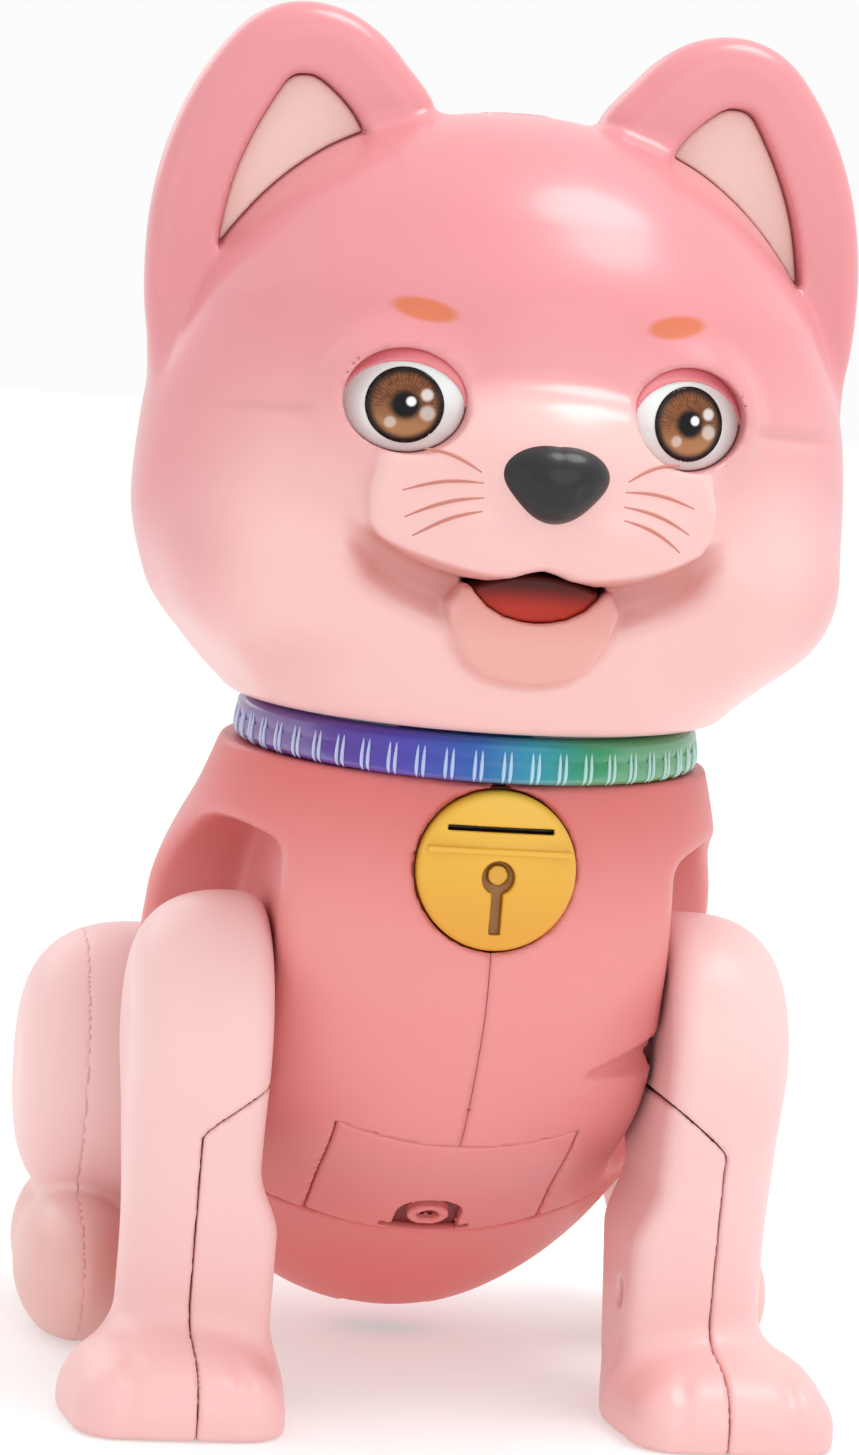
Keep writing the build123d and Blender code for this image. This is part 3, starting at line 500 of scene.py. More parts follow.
def head_material():
    """Blushed pink, pale on the muzzle and low cheeks, with the brows, painted shade inside the open mouth
    and round the eye openings, and a painted shadow under the upper lip.
    """
    nodes = Nodes("blush_plastic")
    x, y, z = nodes.xyz.outputs
    across = nodes.math("ABSOLUTE", x)
    front = nodes.ramp(y, -0.022, -0.048)
    low_face = nodes.times(nodes.ramp(z, 0.192, 0.150), nodes.ramp(across, 0.064, 0.042))
    muzzle = nodes.times(nodes.spot(0, 162, 34, 24), front)
    pale = nodes.times(low_face, nodes.ramp(y, 0.010, -0.040))
    pale = nodes.math("MAXIMUM", pale, muzzle, clamp=True)
    colour = nodes.mix(pale, PINK, PALE_PINK)
    # painted shadow under the overhanging upper lip, strongest just below its edge and fading downwards
    lip_rise = nodes.times(x, x, 7.4)
    above_lip = nodes.minus(nodes.minus(z, 0.1482), lip_rise)
    shade = nodes.times(nodes.ramp(above_lip, -0.0120, -0.0028), nodes.ramp(above_lip, 0.0022, 0.0004))
    shade = nodes.times(shade, nodes.ramp(across, 0.034, 0.026), front)
    colour = nodes.paint(colour, LIP_PAINTED_SHADOW, shade, 0.72)
    chin = nodes.times(nodes.spot(0, 139.6, 15.6, 10.4, core=0.80), front)
    colour = nodes.paint(colour, CHIN_SHADE, chin, 0.62)
    upper_lip = nodes.times(nodes.ramp(above_lip, -0.0002, 0.0012), nodes.ramp(y, -0.0665, -0.0685))
    colour = nodes.paint(colour, PALE_PINK, nodes.times(upper_lip, nodes.ramp(z, 0.182, 0.170)))
    # painted shade inside the open mouth, behind the lips
    inside = nodes.times(nodes.ramp(y, -0.0668, -0.0650), nodes.ramp(y, -0.050, -0.054))
    inside = nodes.times(inside, nodes.ramp(z, 0.1535, 0.152), nodes.ramp(z, 0.1395, 0.1405))
    colour = nodes.paint(colour, MOUTH_PAINTED_SHADE, nodes.times(inside, nodes.ramp(across, 0.0128, 0.0118)))
    # darker pink ring at the eye opening's edge: painted shade on the socket's wall
    lid = nodes.times(nodes.spot(EYE[0], EYE_OPENING_Z, 10.3, 8.9, core=0.96), front)
    colour = nodes.paint(colour, SOCKET_PAINTED_SHADE, lid, 0.6)
    brow = nodes.times(nodes.spot(21.3, 191.8, 6.3, 2.3, core=0.62, lean=0.13), front)
    colour = nodes.paint(colour, BROW, brow, 0.95)
    colour = nodes.paint(colour, PALE_PINK, nodes.noise(25.0), 0.06)
    return nodes.finish(colour, 0.31, coat=0.22)


def leg_material():
    nodes = Nodes("pale_leg_plastic")
    y, z = nodes.xyz.outputs[1:]
    colour = nodes.mix(nodes.ramp(z, 0.004, 0.045), LEG_PINK, LEG_PALE)
    # tan over the hind foot: painted shade low under the body, behind the front leg
    hind_foot_shade = nodes.times(nodes.ramp(z, 0.030, 0.018), nodes.ramp(y, -0.008, 0.002))
    colour = nodes.paint(colour, LEG_PAINTED_SHADE, hind_foot_shade, 0.8)
    colour = nodes.paint(colour, LEG_PINK, nodes.noise(22.0), 0.14)
    return nodes.finish(colour, 0.42, coat=0.08)


def collar_material(name, light):
    """Translucent rainbow plastic, violet on the dog's right to green on its left, with a faint painted glow;
    light adds a pale colour and a stronger glow, a painted highlight and glow.
    """
    nodes = Nodes(name)
    ramp = nodes.tree.nodes.new("ShaderNodeValToRGB")
    nodes.link(nodes.ramp(nodes.xyz.outputs[0], -0.044, 0.042), ramp.inputs[0])
    stops = [
        (0.0, (0.09, 0.02, 0.21)), (0.22, (0.065, 0.045, 0.38)), (0.42, (0.02, 0.10, 0.40)),
        (0.60, (0.012, 0.27, 0.38)), (0.76, (0.02, 0.27, 0.12)), (1.0, (0.02, 0.22, 0.045)),
    ]
    while len(ramp.color_ramp.elements) < len(stops):
        ramp.color_ramp.elements.new(0.5)
    for element, (at, colour) in zip(ramp.color_ramp.elements, stops):
        element.position, element.color = at, (*colour, 1)
    # light mixes in a pale colour and emission: painted highlight and glow on the ribs
    colour = nodes.mix(light, ramp.outputs[0], (0.75, 0.90, 1.0))
    nodes.set("Transmission Weight", 0.10)
    nodes.set("Specular IOR Level", 0.35)
    nodes.link(colour, nodes.shader.inputs["Emission Color"])
    nodes.set("Emission Strength", 0.05 + 0.4 * light)
    return nodes.finish(colour, 0.22, bump=0.0, coat=0.12)


# Pale catch-lights on the iris: painted highlights in place of reflections.
PAINTED_CATCH_LIGHTS = (
    (0.0009, 0.0006, 0.0010, 1.0),
    (0.0034, 0.0018, 0.0013, 0.60),
    (0.0036, -0.0012, 0.0016, 0.42),
    (-0.0022, -0.0030, 0.0012, 0.38),
)


def iris_material(side):
    """A printed iris: dark rim, brown rays and black pupil, with pale catch-lights painted on as highlights.
    """
    nodes = Nodes(f"iris_print_{side}")
    nodes.set("Specular IOR Level", 0.15)
    centre_x = EYE[0] if side == "left" else -EYE[0]
    x = nodes.minus(nodes.xyz.outputs[0], centre_x * MM)
    z = nodes.minus(nodes.xyz.outputs[2], EYE[2] * MM)
    r = nodes.length(x, z)
    rays = nodes.math("SINE", nodes.times(nodes.math("ARCTAN2", z, x), 46.0))
    rays = nodes.math("ADD", nodes.times(rays, 0.12), nodes.noise(1300.0))
    colour = nodes.mix(nodes.ramp(rays, 0.2, 0.8), (0.11, 0.036, 0.013), (0.24, 0.090, 0.034))
    colour = nodes.paint(colour, (0.42, 0.20, 0.085), nodes.ramp(z, 0.001, -0.0045))
    colour = nodes.paint(colour, (0.010, 0.005, 0.004), nodes.ramp(r, 0.0046, 0.0058))
    colour = nodes.paint(colour, (0.003, 0.003, 0.004), nodes.ramp(r, 0.0030, 0.0017))
    # painted highlights
    for dx, dz, size, strength in PAINTED_CATCH_LIGHTS:
        d = nodes.length(nodes.minus(x, dx), nodes.minus(z, dz))
        colour = nodes.paint(colour, (0.95, 0.93, 0.90), nodes.ramp(d, size, size * 0.5), strength)
    return nodes.finish(colour, 0.10, bump=0.0, coat=0.15)


def tongue_material():
    """Red at the tongue's front edge, dark with painted shade over its upper back part, inside the mouth."""
    nodes = Nodes("tongue_red")
    painted_mouth_shade = nodes.ramp(nodes.xyz.outputs[2], 0.1432, 0.1482)
    red = nodes.mix(nodes.noise(120.0), (0.42, 0.026, 0.015), (0.50, 0.038, 0.022))
    nodes.set("Specular IOR Level", 0.2)
    return nodes.finish(nodes.mix(painted_mouth_shade, red, (0.070, 0.010, 0.008)), 0.35, coat=0.06)


def bell_material():
    """Gold paint with painted shade: darker towards the bottom, darker in the keyhole and black in the sound
    slot.
    """
    nodes = Nodes("bell_gold")
    x, y, z = nodes.xyz.outputs
    across = nodes.math("ABSOLUTE", x)
    depth = nodes.minus(y, BELL_FRONT_Y * MM)
    up = nodes.minus(z, BELL[2] * MM)
    # lighter gold at the top, darker at the bottom: painted shade on the lower half
    colour = nodes.mix(nodes.ramp(up, 0.012, -0.014), (0.76, 0.44, 0.032), (0.70, 0.32, 0.014))
    # darker gold in the keyhole: painted shade in the recess
    key = nodes.times(nodes.ramp(depth, 0.0020, 0.0024), nodes.ramp(across, 0.0038, 0.0034))
    key = nodes.times(key, nodes.ramp(up, -0.0122, -0.0118), nodes.ramp(up, 0.0036, 0.0032))
    colour = nodes.paint(colour, (0.34, 0.14, 0.012), key)
    # black in the sound slot: painted shade in the groove
    slot = nodes.times(nodes.ramp(depth, 0.0021, 0.0025), nodes.ramp(across, 0.0102, 0.0098))
    slot = nodes.times(slot, nodes.ramp(up, 0.0086, 0.0082), nodes.ramp(up, 0.0058, 0.0062))
    colour = nodes.paint(colour, (0.02, 0.010, 0.006), slot)
    return nodes.finish(colour, 0.36, coat=0.3)


M = {
    "torso": torso_material(),
    "head": head_material(),
    "leg": leg_material(),
    "ear": plain("ear_panel_plastic", (0.83, 0.59, 0.53), 0.5),
    "dark": plain("dark_plastic", (0.030, 0.022, 0.022), 0.5),
    # near-black red for the battery recess floor, the bell's gap, the horns and the bushes: painted shade
    "painted_shade_dark": plain("gap_painted_shade", (0.20, 0.03, 0.03), 0.55),
    "nose": plain("nose_gloss", (0.017, 0.016, 0.018), 0.34, bump=0.10, coat=0.20, specular=0.25),
    "bell": bell_material(),
    "white": plain("eye_gloss_white", (0.74, 0.77, 0.75), 0.16, bump=0.0, coat=0.6),
    "lid": plain("eyelid_plastic", (0.78, 0.235, 0.26), 0.4),
    "tongue": tongue_material(),
    "whisker": plain("whisker_line", (0.56, 0.20, 0.155), 0.5),
    "rubber": plain("sole_rubber", (0.42, 0.20, 0.17), 0.75, bump=0.3),
    "board": plain("green_board", (0.02, 0.16, 0.05), 0.4),
    "wrap": plain("pack_wrap", (0.03, 0.09, 0.30), 0.3),
    "natural": plain("natural_plastic", (0.72, 0.70, 0.64), 0.5),
    "collar": collar_material("collar_guide", 0.0),
    "rib": collar_material("collar_rib_painted_glow", 0.45),
}
for key, name, colour, roughness in (
    ("steel", "screw_steel", (0.55, 0.55, 0.57), 0.3),
    ("dark_steel", "dark_screw_steel", (0.30, 0.10, 0.09), 0.4),
):
    metal = Nodes(name)
    metal.set("Metallic", 1.0)
    M[key] = metal.finish(colour, roughness, bump=0.2, grain=900.0)


# ---- torso --------------------
def torso_local(p):
    q = p - NECK.astype(np.float32)
    return q[:, 0], q @ AXIS_DOWN.astype(np.float32), q @ AXIS_BACK.astype(np.float32)


def neck_height(p):
    return (p - NECK.astype(np.float32)) @ NECK_UP.astype(np.float32)


def across_x(p, centre):
    """Distance from an axis along X through a centre."""
    return np.hypot(p[:, 1] - centre[1], p[:, 2] - centre[2])


def door_local(p):
    q = p - DOOR_TOP.astype(np.float32)
    return q[:, 0], q @ DOOR_DOWN.astype(np.float32), q @ DOOR_OUT.astype(np.float32)


def door_prism(p, grow):
    x, down, out = door_local(p)
    past_side = np.abs(x) - DOOR_WIDTH / 2 - grow
    past_end = np.abs(down - DOOR_LENGTH / 2) - DOOR_LENGTH / 2 - grow
    half = np.stack([past_side, past_end], -1)
    side = np.linalg.norm(np.maximum(half, 0), axis=-1) + np.minimum(half.max(-1), 0)
    return np.maximum(side, np.abs(out - 2) - 12)


def torso_plain(p):
    x, s, h = torso_local(p)
    return TORSO.distance(x, s, h)


SCOOP_Y = front_of(torso_plain, np.array([22.0, 35.5]), np.array([61.8, 64.8]))
SCOOP_TIP = (21.5, SCOOP_Y[0] - 0.1, 61.8)
SCOOP_END = (35.5, SCOOP_Y[1] - 1.9, 64.8)


def torso_core(p):
    """The closed torso with its shoulder pockets and hip flats, cut off under the collar."""
    x, s, h = torso_local(p)
    d = TORSO.distance(x, s, h)
    far = np.abs(x)
    pocket = common(across_x(p, SHOULDER) - POCKET_R, POCKET_X - far, 3.0)
    d = cut(d, pocket, 3.2)
    hip = common(across_x(p, HIP) - HIP_R, HIP_FLAT_X - far, 1.5)
    d = cut(d, hip, 2.0)
    d = cut(d, capsule(p, SCOOP_TIP, SCOOP_END, 0.8, 4.6), 0.4)
    return common(d, neck_height(p) + COLLAR_HALF + 0.1, 0.8)


def torso_shell(p):
    """The hollow torso, solid behind the scoop, with its openings for bell, door and drive shafts."""
    d = torso_core(p)
    behind_scoop = 12.0 - np.linalg.norm(p - np.array(SCOOP_END, np.float32), axis=-1)
    d = cut(d, np.maximum(d + WALL, behind_scoop), 0.4)
    bell = np.hypot(p[:, 0] - BELL[0], p[:, 2] - BELL[2])
    d = cut(d, np.maximum(bell - BELL_HOLE_R, p[:, 1] - BELL_HOLE_BACK_Y), 0.6)
    d = cut(d, door_prism(p, GAP), 0.5)
    far = np.abs(p[:, 0])
    d = cut(d, np.maximum(across_x(p, SHOULDER) - SHAFT_HOLE_R, SHOULDER_HOLE_X - far), 0.4)
    return cut(d, np.maximum(across_x(p, HIP) - SHAFT_HOLE_R, HIP_HOLE_X - far), 0.4)


def torso_half(p, side):
    """One half of the torso, with its part of the seam's gap; side is 1 on the dog's left, else -1."""
    _, s, _ = torso_local(p)
    d = np.maximum(torso_shell(p), GAP - side * p[:, 0])
    return common(d, s - SEAT_SPLIT + GAP, 0.35)


def seat(p):
    """The shell that closes the rump, with the power switch's slot in its underside."""
    _, s, _ = torso_local(p)
    d = common(torso_shell(p), SEAT_SPLIT + GAP - s, 0.35)
    knob = box(p, (0, 34, 4), (8, 4.2, 4.6), 0.6)
    return cut(d, knob, 0.5)


def tab_shapes(p, core):
    """The latch recess's arch, the finger slot below it and the ring round the screw."""
    x, down, _ = door_local(p)
    arch = np.hypot(x, down - TAB_ARCH) - 6.0
    arch = np.minimum(arch, np.maximum(np.abs(x) - 6.0, TAB_ARCH - down))
    slot = np.maximum(np.abs(x) - 8.2, np.abs(down - TAB_SLOT) - 1.0)
    ring = np.maximum(np.abs(np.hypot(x, down - TAB_SCREW) - 2.9) - 0.85, np.maximum(core + 0.4, -core - 2.5))
    return arch, slot, ring


def door(p):
    """The battery door, with the arched screw recess at its lower edge."""
    x, down, _ = door_local(p)
    core = torso_core(p)
    behind_tab = np.minimum(10.5 - np.hypot(x, down - 31.0), core + 4.0)
    d = common(cut(core, np.maximum(core + WALL, behind_tab), 0.4), door_prism(p, -GAP), 0.7)
    arch, slot, ring = tab_shapes(p, core)
    d = cut(d, np.maximum(arch, -(core + 2.2)), 0.3)
    d = join(d, ring, 0.3)
    return cut(d, np.maximum(slot, -(core + 2.6)), 0.3)


def build_torso():
    step = 1.0
    for name, side, low_x, high_x in (("left", 1, 0, 55), ("right", -1, -55, 0)):
        low, high = (low_x, -52, 26), (high_x, 70, 118)
        shape = surface(lambda p: torso_half(p, side), low, high, step)
        shape = sharpen(shape, torso_shell, lambda p: GAP - side * p[:, 0], step)
        replaced = [f"torso_shell_{name}"]
        mesh_piece(f"torso_half_{name}", shape, "torso", replaced, M["torso"])
    shape = surface(seat, (-48, -6, 4), (48, 78, 80), 1.1)
    mesh_piece("seat_cover", shape, "torso", ["seat_shell"], M["torso"])
    shape = surface(door, (-22, -35, 26), (22, 2, 54), 0.5)
    mesh_piece("battery_lid", shape, "battery_door", ["battery_door"], M["torso"])

    # A dark sheet on the latch recess's floor: painted shade in the recess.
    def recess_shade_sheet(p):
        core = torso_core(p)
        arch, slot, _ = tab_shapes(p, core)
        floor = np.maximum(arch, np.abs(core + 2.25) - 0.3)
        return np.minimum(floor, np.maximum(slot, np.abs(core + 2.6) - 0.3))

    shape = surface(recess_shade_sheet, (-11, -16, 24), (11, 2, 42), 0.4)
    mesh_piece("battery_tab_painted_shade", shape, "battery_door", material=M["painted_shade_dark"])
    tail_low, tail_high = (np.array(v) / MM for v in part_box("tail"))

    def tail(p):
        root = ellipsoid(p, (0, 68.5, 68), (7.5, 9.5, 9))
        tip = ellipsoid(p, (0, 72.5, 79), (7.2, 8.0, 11.5))
        return cut(join(root, tip, 5), torso_core(p) + 0.3, 0.5)

    shape = surface(tail, tail_low - 1, tail_high + 1, 0.7)
    mesh_piece("tail_curl", shape, "torso", ["tail"], M["leg"])


# ---- head --------------------
EAR_OUTLINE = smooth_outline([
    (14.0, 224.0), (20.8, 234.8), (27.6, 240.8), (34.7, 243.4), (41.9, 243.1), (48.2, 239.8), (53.6, 233.4),
    (58.0, 225.5), (61.2, 216.5), (63.0, 206.5), (63.3, 196.0), (62.4, 186.5), (60.0, 178.0), (52, 172),
    (36, 180), (20, 205),
])
EAR_PANEL = smooth_outline([
    (38.6, 230.9), (35.6, 230.4), (31.2, 227.0), (27.8, 222.6), (24.0, 214.0), (30.0, 204.0), (42.0, 196.5),
    (50.0, 194.5), (51.4, 200.0), (50.8, 206.5), (49.2, 213.5), (46.5, 220.5), (43.2, 226.8), (41.0, 230.0),
])
EAR_Y, EAR_HALF_DEPTH = -18.2, 6.6
PANEL_Y = EAR_Y - 3.0
MUZZLE_OUTLINE = [
    (-30.0, 150.4), (0.0, 150.4), (2.6, 149.8), (5.0, 148.9), (9.0, 148.2), (13.0, 148.5), (17.5, 149.6),
    (21.0, 150.9), (24.0, 152.3), (27.2, 154.2), (29.0, 156.8), (29.3, 162.0), (28.2, 168.0), (25.0, 173.0),
    (20.0, 176.8), (14.0, 179.3), (8.0, 180.8), (0.0, 181.2), (-30.0, 181.2),
]
MOUTH_OUTLINE = [
    (-30.0, 152.0), (12.2, 151.0), (11.6, 147.8), (10.4, 145.9), (8.4, 143.9), (5.4, 142.3), (2.4, 141.6),
    (0.0, 141.4), (-30.0, 141.4),
]
CHIN_OUTLINE = [
    (-30.0, 147.5), (12.6, 147.5), (14.6, 144.0), (13.8, 140.6), (12.4, 136.9), (10.6, 133.7), (8.0, 131.6),
    (4.2, 130.6), (0.0, 130.3), (-30.0, 130.3),
]


def head_core(p):
    return HEAD.distance(p[:, 0], p[:, 2], p[:, 1])


def skull(p):
    """The head's round form with its cheeks, before the muzzle and mouth."""
    return join(head_core(p), ellipsoid(folded(p), (38, -40, 148), (19, 22.5, 15.5)), 9)


def muzzle_form(p):
    q = folded(p)
    far, z = q[:, 0], q[:, 2]
    front = ellipsoid(p, (0, -48, 163.5), (47, 27.4, 29.3))
    front = join(front, ellipsoid(q, (10.5, -62.5, 156.3), (14.5, 13.6, 8.6)), 5)
    front = join(front, ellipsoid(p, (0, -66, 167.2), (15.5, 11.2, 10.6)), 5)
    outline = polygon(far, z, MUZZLE_OUTLINE)
    return common(front, outline, 2.0 + 2.8 * ease(z, 158, 173))


def head_front(x, z):
    """The Y of the finished face surface, muzzle included."""
    return front_of(lambda p: join(skull(p), muzzle_form(p), 4.0), x, z)


def chain(p, points, radii):
    """Tapering bars from point to point."""
    d = np.full(len(p), 1e9, np.float32)
    for a, b, ra, rb in zip(points[:-1], points[1:], radii[:-1], radii[1:]):
        d = np.minimum(d, capsule(p, a, b, ra, rb))
    return d


TROUGH_X = np.array([0, 8.0, 14.5, 20.5, 25.0, 28.4])
TROUGH_Z = np.array([144.8, 144.2, 144.9, 147.0, 149.6, 152.6])
TROUGH = np.stack([TROUGH_X, front_of(skull, TROUGH_X, TROUGH_Z), TROUGH_Z], -1)


def eye_ellipse(p, half_x, half_z):
    """Roughly the distance to the outline of the eye opening, seen from the front."""
    u = (np.abs(p[:, 0]) - EYE[0]) / half_x
    v = (p[:, 2] - EYE_OPENING_Z) / half_z
    return (np.sqrt(u * u + v * v) - 1) * half_z


def eye_surface(p):
    """The outer surface of the eyeball: just under the skull at its rim and crowned in its middle."""
    rho2 = np.clip(1 + eye_ellipse(p, *EYE_HALF) / EYE_HALF[1], 0, 1.2) ** 2
    return skull(p) + 0.75 - 1.5 * (1 - rho2)


def face_form(p):
    """The head without ears: cheek folds, mouth, chin, muzzle and eye openings."""
    q = folded(p)
    far, y, z = q[:, 0], q[:, 1], q[:, 2]
    base = skull(p)
    fold = np.exp(-(((z - 175.0 + 0.05 * (far - 36)) / 1.2) ** 2))
    fold = fold * ease(far, 35, 39) * (1 - ease(far, 47, 57))
    d = base + 1.0 * fold * ease(-y, 15, 30)
    d = cut(d, chain(q, TROUGH, (4.8, 4.8, 4.5, 3.9, 3.0, 1.5)), 3.6)
    chin = common(np.maximum(polygon(far, z, CHIN_OUTLINE), y + 40), base - 2.1, 2.0)
    d = join(d, chin, 1.6)
    mouth = np.maximum(polygon(far, z, MOUTH_OUTLINE), y + 57)
    d = cut(d, mouth, 0.9)
    d = join(d, muzzle_form(p), 0.8 + 3.4 * ease(z, 152, 166) - 1.6 * ease(z, 168, 177))
    cleft = capsule(p, (0, -77.0, 157.5), (0, -75.6, 151.5), 0.5, 0.9)
    d = cut(d, cleft, 1.8)
    rim = ellipsoid(q, (EYE[0], -59.5, EYE_OPENING_Z + 0.4), (12.8, 7.0, 11.2))
    d = join(d, rim, 5)
    return cut(d, np.maximum(eye_ellipse(p, *EYE_HALF), y + 54), 0.9)


def with_ears(p, d):
    far, y, z = np.abs(p[:, 0]), p[:, 1], p[:, 2]
    ear = common(polygon(far, z, EAR_OUTLINE), np.abs(y - EAR_Y) - EAR_HALF_DEPTH, 6.5)
    d = join(d, ear, 3.5)
    dish = common(polygon(far, z, EAR_PANEL) - 0.15, y - (PANEL_Y + 0.7), 0.3)
    dish = np.maximum(dish, -head_core(p) + 0.25)
    return cut(d, dish, 0.9)


def head_solid(p):
    d = with_ears(p, face_form(p))
    return common(d, COLLAR_HALF + 0.8 - neck_height(p), 1.5)


def head_shell(p):
    inner = np.maximum(head_core(p) + 3.0, COLLAR_HALF + 3.2 - neck_height(p))
    inner = np.maximum(inner, -ellipsoid(p, (0, -72, 160), (60, 30, 40)))
    return cut(head_solid(p), inner, 0.4)


def build_head():
    def face(p):
        return common(head_shell(p), p[:, 1] - HEAD_SPLIT_Y + GAP, 0.5)

    def back(p):
        return common(head_shell(p), HEAD_SPLIT_Y + GAP - p[:, 1], 0.5)

    shape = surface(face, (-63.4, -78, 120), (63.4, -9, 246), FACE_STEP)
    mesh_piece("face_cover", shape, "head", ["face_shell"], M["head"])
    shape = surface(back, (-63.4, -13, 120), (63.4, 36, 246), 1.1)
    mesh_piece("back_cover", shape, "head", ["head_back_shell"], M["head"])

    def panel(p):
        flat = polygon(np.abs(p[:, 0]), p[:, 2], EAR_PANEL) + 0.12
        d = common(flat, np.abs(p[:, 1] - PANEL_Y) - 0.65, 0.5)
        return cut(d, head_core(p) - 0.5, 0.3)

    shape = surface(panel, (22, PANEL_Y - 2, 198), (54, PANEL_Y + 2, 232), 0.5)
    mesh_pair("ear_panel_{}", shape, "head", ["ear_insert_{}"], M["ear"])

    def nose(p):
        q = folded(p)
        d = ellipsoid(q, (1.2, -73.9, 166.2), (8.2, 6.6, 5.5))
        d = join(d, ellipsoid(p, (0, -74.1, 162.6), (4.8, 5.6, 4.2)), 4.5)
        nostril = ellipsoid(q, (4.6, -81.0, 163.4), (1.3, 1.1, 1.0))
        return cut(d, nostril, 1.4)

    shape = surface(nose, (-10, -81, 155), (10, -66, 174), 0.5)
    mesh_piece("nose_tip", shape, "head", ["nose"], M["nose"])

    def tongue(p):
        blade = ellipsoid(p, (0, -61.5, 143.4), (14.5, 9.5, 6.4))
        limit = np.maximum(polygon(np.abs(p[:, 0]), p[:, 2], MOUTH_OUTLINE) + 0.1, -66.2 - p[:, 1])
        return common(blade, limit, 0.5)

    shape = surface(tongue, (-12.5, -68, 140), (12.5, -55, 151), 0.5)
    mesh_piece("tongue_tip", shape, "head", ["tongue"], M["tongue"])

    def eyeball(p):
        return common(np.maximum(eye_ellipse(p, 9.85, 8.45), p[:, 1] + 54.5), eye_surface(p), 0.4)

    def lid(p):
        u = (p[:, 0] - EYE[0]) / LID_HALF[0]
        v = (p[:, 2] - EYE_OPENING_Z + 1.5) / LID_HALF[1]
        above_opening = (1 - np.sqrt(u * u + v * v)) * LID_HALF[1]
        below = np.maximum(above_opening, EYE_OPENING_Z - 0.6 - p[:, 2])
        d = common(eye_ellipse(p, 10.15, 8.75), below, 0.25)
        return common(np.maximum(d, -eye_surface(p) - 1.5), eye_surface(p) - 0.45, 0.4)

    def iris_rim(p):
        return np.hypot(p[:, 0] - EYE[0], p[:, 2] - EYE[2]) - IRIS_R

    def iris_front(p):
        return eye_surface(p) - 0.12

    def iris(p):
        return np.maximum(np.maximum(iris_rim(p), p[:, 1] + 58), iris_front(p))

    shape = surface(eyeball, (13, -70, 167), (35, -54, 186), 0.5)
    mesh_pair("eyeball_{}", shape, "head", ["eye_white_{}"], M["white"])
    shape = surface(lid, (12, -70, 174), (36, -54, 188), 0.4)
    mesh_pair("eyelid_{}", shape, "head", [], M["lid"])
    shape = surface(iris, (17, -70, 169), (31, -57, 183), 0.4)
    shape = sharpen(shape, iris_front, iris_rim, 0.4)
    prints = {side: iris_material(side) for side in ("left", "right")}
    mesh_pair("iris_print_{}", shape, "head", ["iris_{}"], prints)


def ring_faces(steps, count):
    """The quads of a closed profile of count points, carried round in steps."""
    faces = []
    for i in range(steps):
        here, ahead = i * count, (i + 1) % steps * count
        for j in range(count):
            k = (j + 1) % count
            faces.append((here + j, here + k, ahead + k, ahead + j))
    return faces


def tube(points, radii, sides=8):
    """A closed tapering tube through points."""
    points = np.asarray(points, float)
    along = np.gradient(points, axis=0)
    along /= np.linalg.norm(along, axis=1)[:, None]
    side = np.cross(along, (0, 1, 0))
    side /= np.linalg.norm(side, axis=1)[:, None]
    up = np.cross(side, along)
    turn = np.arange(sides) * 2 * math.pi / sides
    ring = np.cos(turn)[None, :, None] * side[:, None] + np.sin(turn)[None, :, None] * up[:, None]
    vertices = (points[:, None] + ring * np.asarray(radii)[:, None, None]).reshape(-1, 3)
    faces = ring_faces(len(points), sides)[:-sides]
    faces.append(tuple(range(sides))[::-1])
    faces.append(tuple(range(len(vertices) - sides, len(vertices))))
    return vertices, faces


def joined(parts):
    """Several meshes as one."""
    vertices, faces, start = [], [], 0
    for v, f in parts:
        vertices.append(v)
        faces += [tuple(i + start for i in face) for face in f]
        start += len(v)
    return np.concatenate(vertices), faces


def build_whiskers():
    """Four inlaid whisker lines on each side of the muzzle."""
    lines = [
        ((12.2, 166.0), (21.4, 169.2)), ((11.8, 164.3), (24.4, 162.2)),
        ((11.6, 161.9), (23.8, 157.9)), ((11.8, 159.7), (22.4, 154.9)),
    ]
    parts = []
    for side in (1, -1):
        for (x0, z0), (x1, z1) in lines:
            t = np.linspace(0, 1, 14)
            x = x0 + (x1 - x0) * t
            z = z0 + (z1 - z0) * t + 0.8 * np.sin(math.pi * t)
            points = np.stack([side * x, head_front(x, z) + 0.10, z], -1)
            parts.append(tube(points, 0.05 + 0.27 * np.sin(math.pi * np.clip(t, 0.04, 0.96)) ** 0.5))
    shape = joined(parts)
    mesh_piece("whisker_lines", shape, "head", material=M["whisker"])


# ---- collar and bell --------------------
def collar_point(angle, radius, height):
    """A point on the tilted collar; angle 0 is the dog's front."""
    side = np.array([1.0, 0, 0])
    forward = np.cross(side, NECK_UP)
    return NECK + radius * (math.sin(angle) * side + math.cos(angle) * forward) + height * NECK_UP


COLLAR_PROFILE = [
    (34.2, -3.9), (39.4, -3.9), (40.5, -3.5), (41.0, -2.6), (41.05, -0.4), (40.7, 0.1), (40.8, 0.5),
    (40.9, 2.2), (40.4, 3.3), (39.2, 3.9), (34.2, 3.9),
]
RIB_LINE = [
    (40.3, -3.75), (40.9, -3.0), (41.07, -2.2), (41.07, -1.2), (41.0, -0.2), (40.86, 1.0), (40.8, 1.9),
]
RIB_PAIRS = 52


def build_collar():
    steps = 240
    turns = [2 * math.pi * i / steps for i in range(steps)]
    vertices = [collar_point(turn, r, z) for turn in turns for r, z in COLLAR_PROFILE]
    faces = ring_faces(steps, len(COLLAR_PROFILE))
    mesh_piece("collar_band", (vertices, faces), "torso", ["collar_ring"], M["collar"])
    parts = []
    for i in range(RIB_PAIRS):
        for offset in (-0.014, 0.014):
            angle = 2 * math.pi * i / RIB_PAIRS + offset
            points = [collar_point(angle, r, z) for r, z in RIB_LINE]
            parts.append(tube(points, (0.08, 0.28, 0.34, 0.34, 0.30, 0.20, 0.06), sides=6))
    shape = joined(parts)
    mesh_piece("collar_ribs", shape, "torso", material=M["rib"])


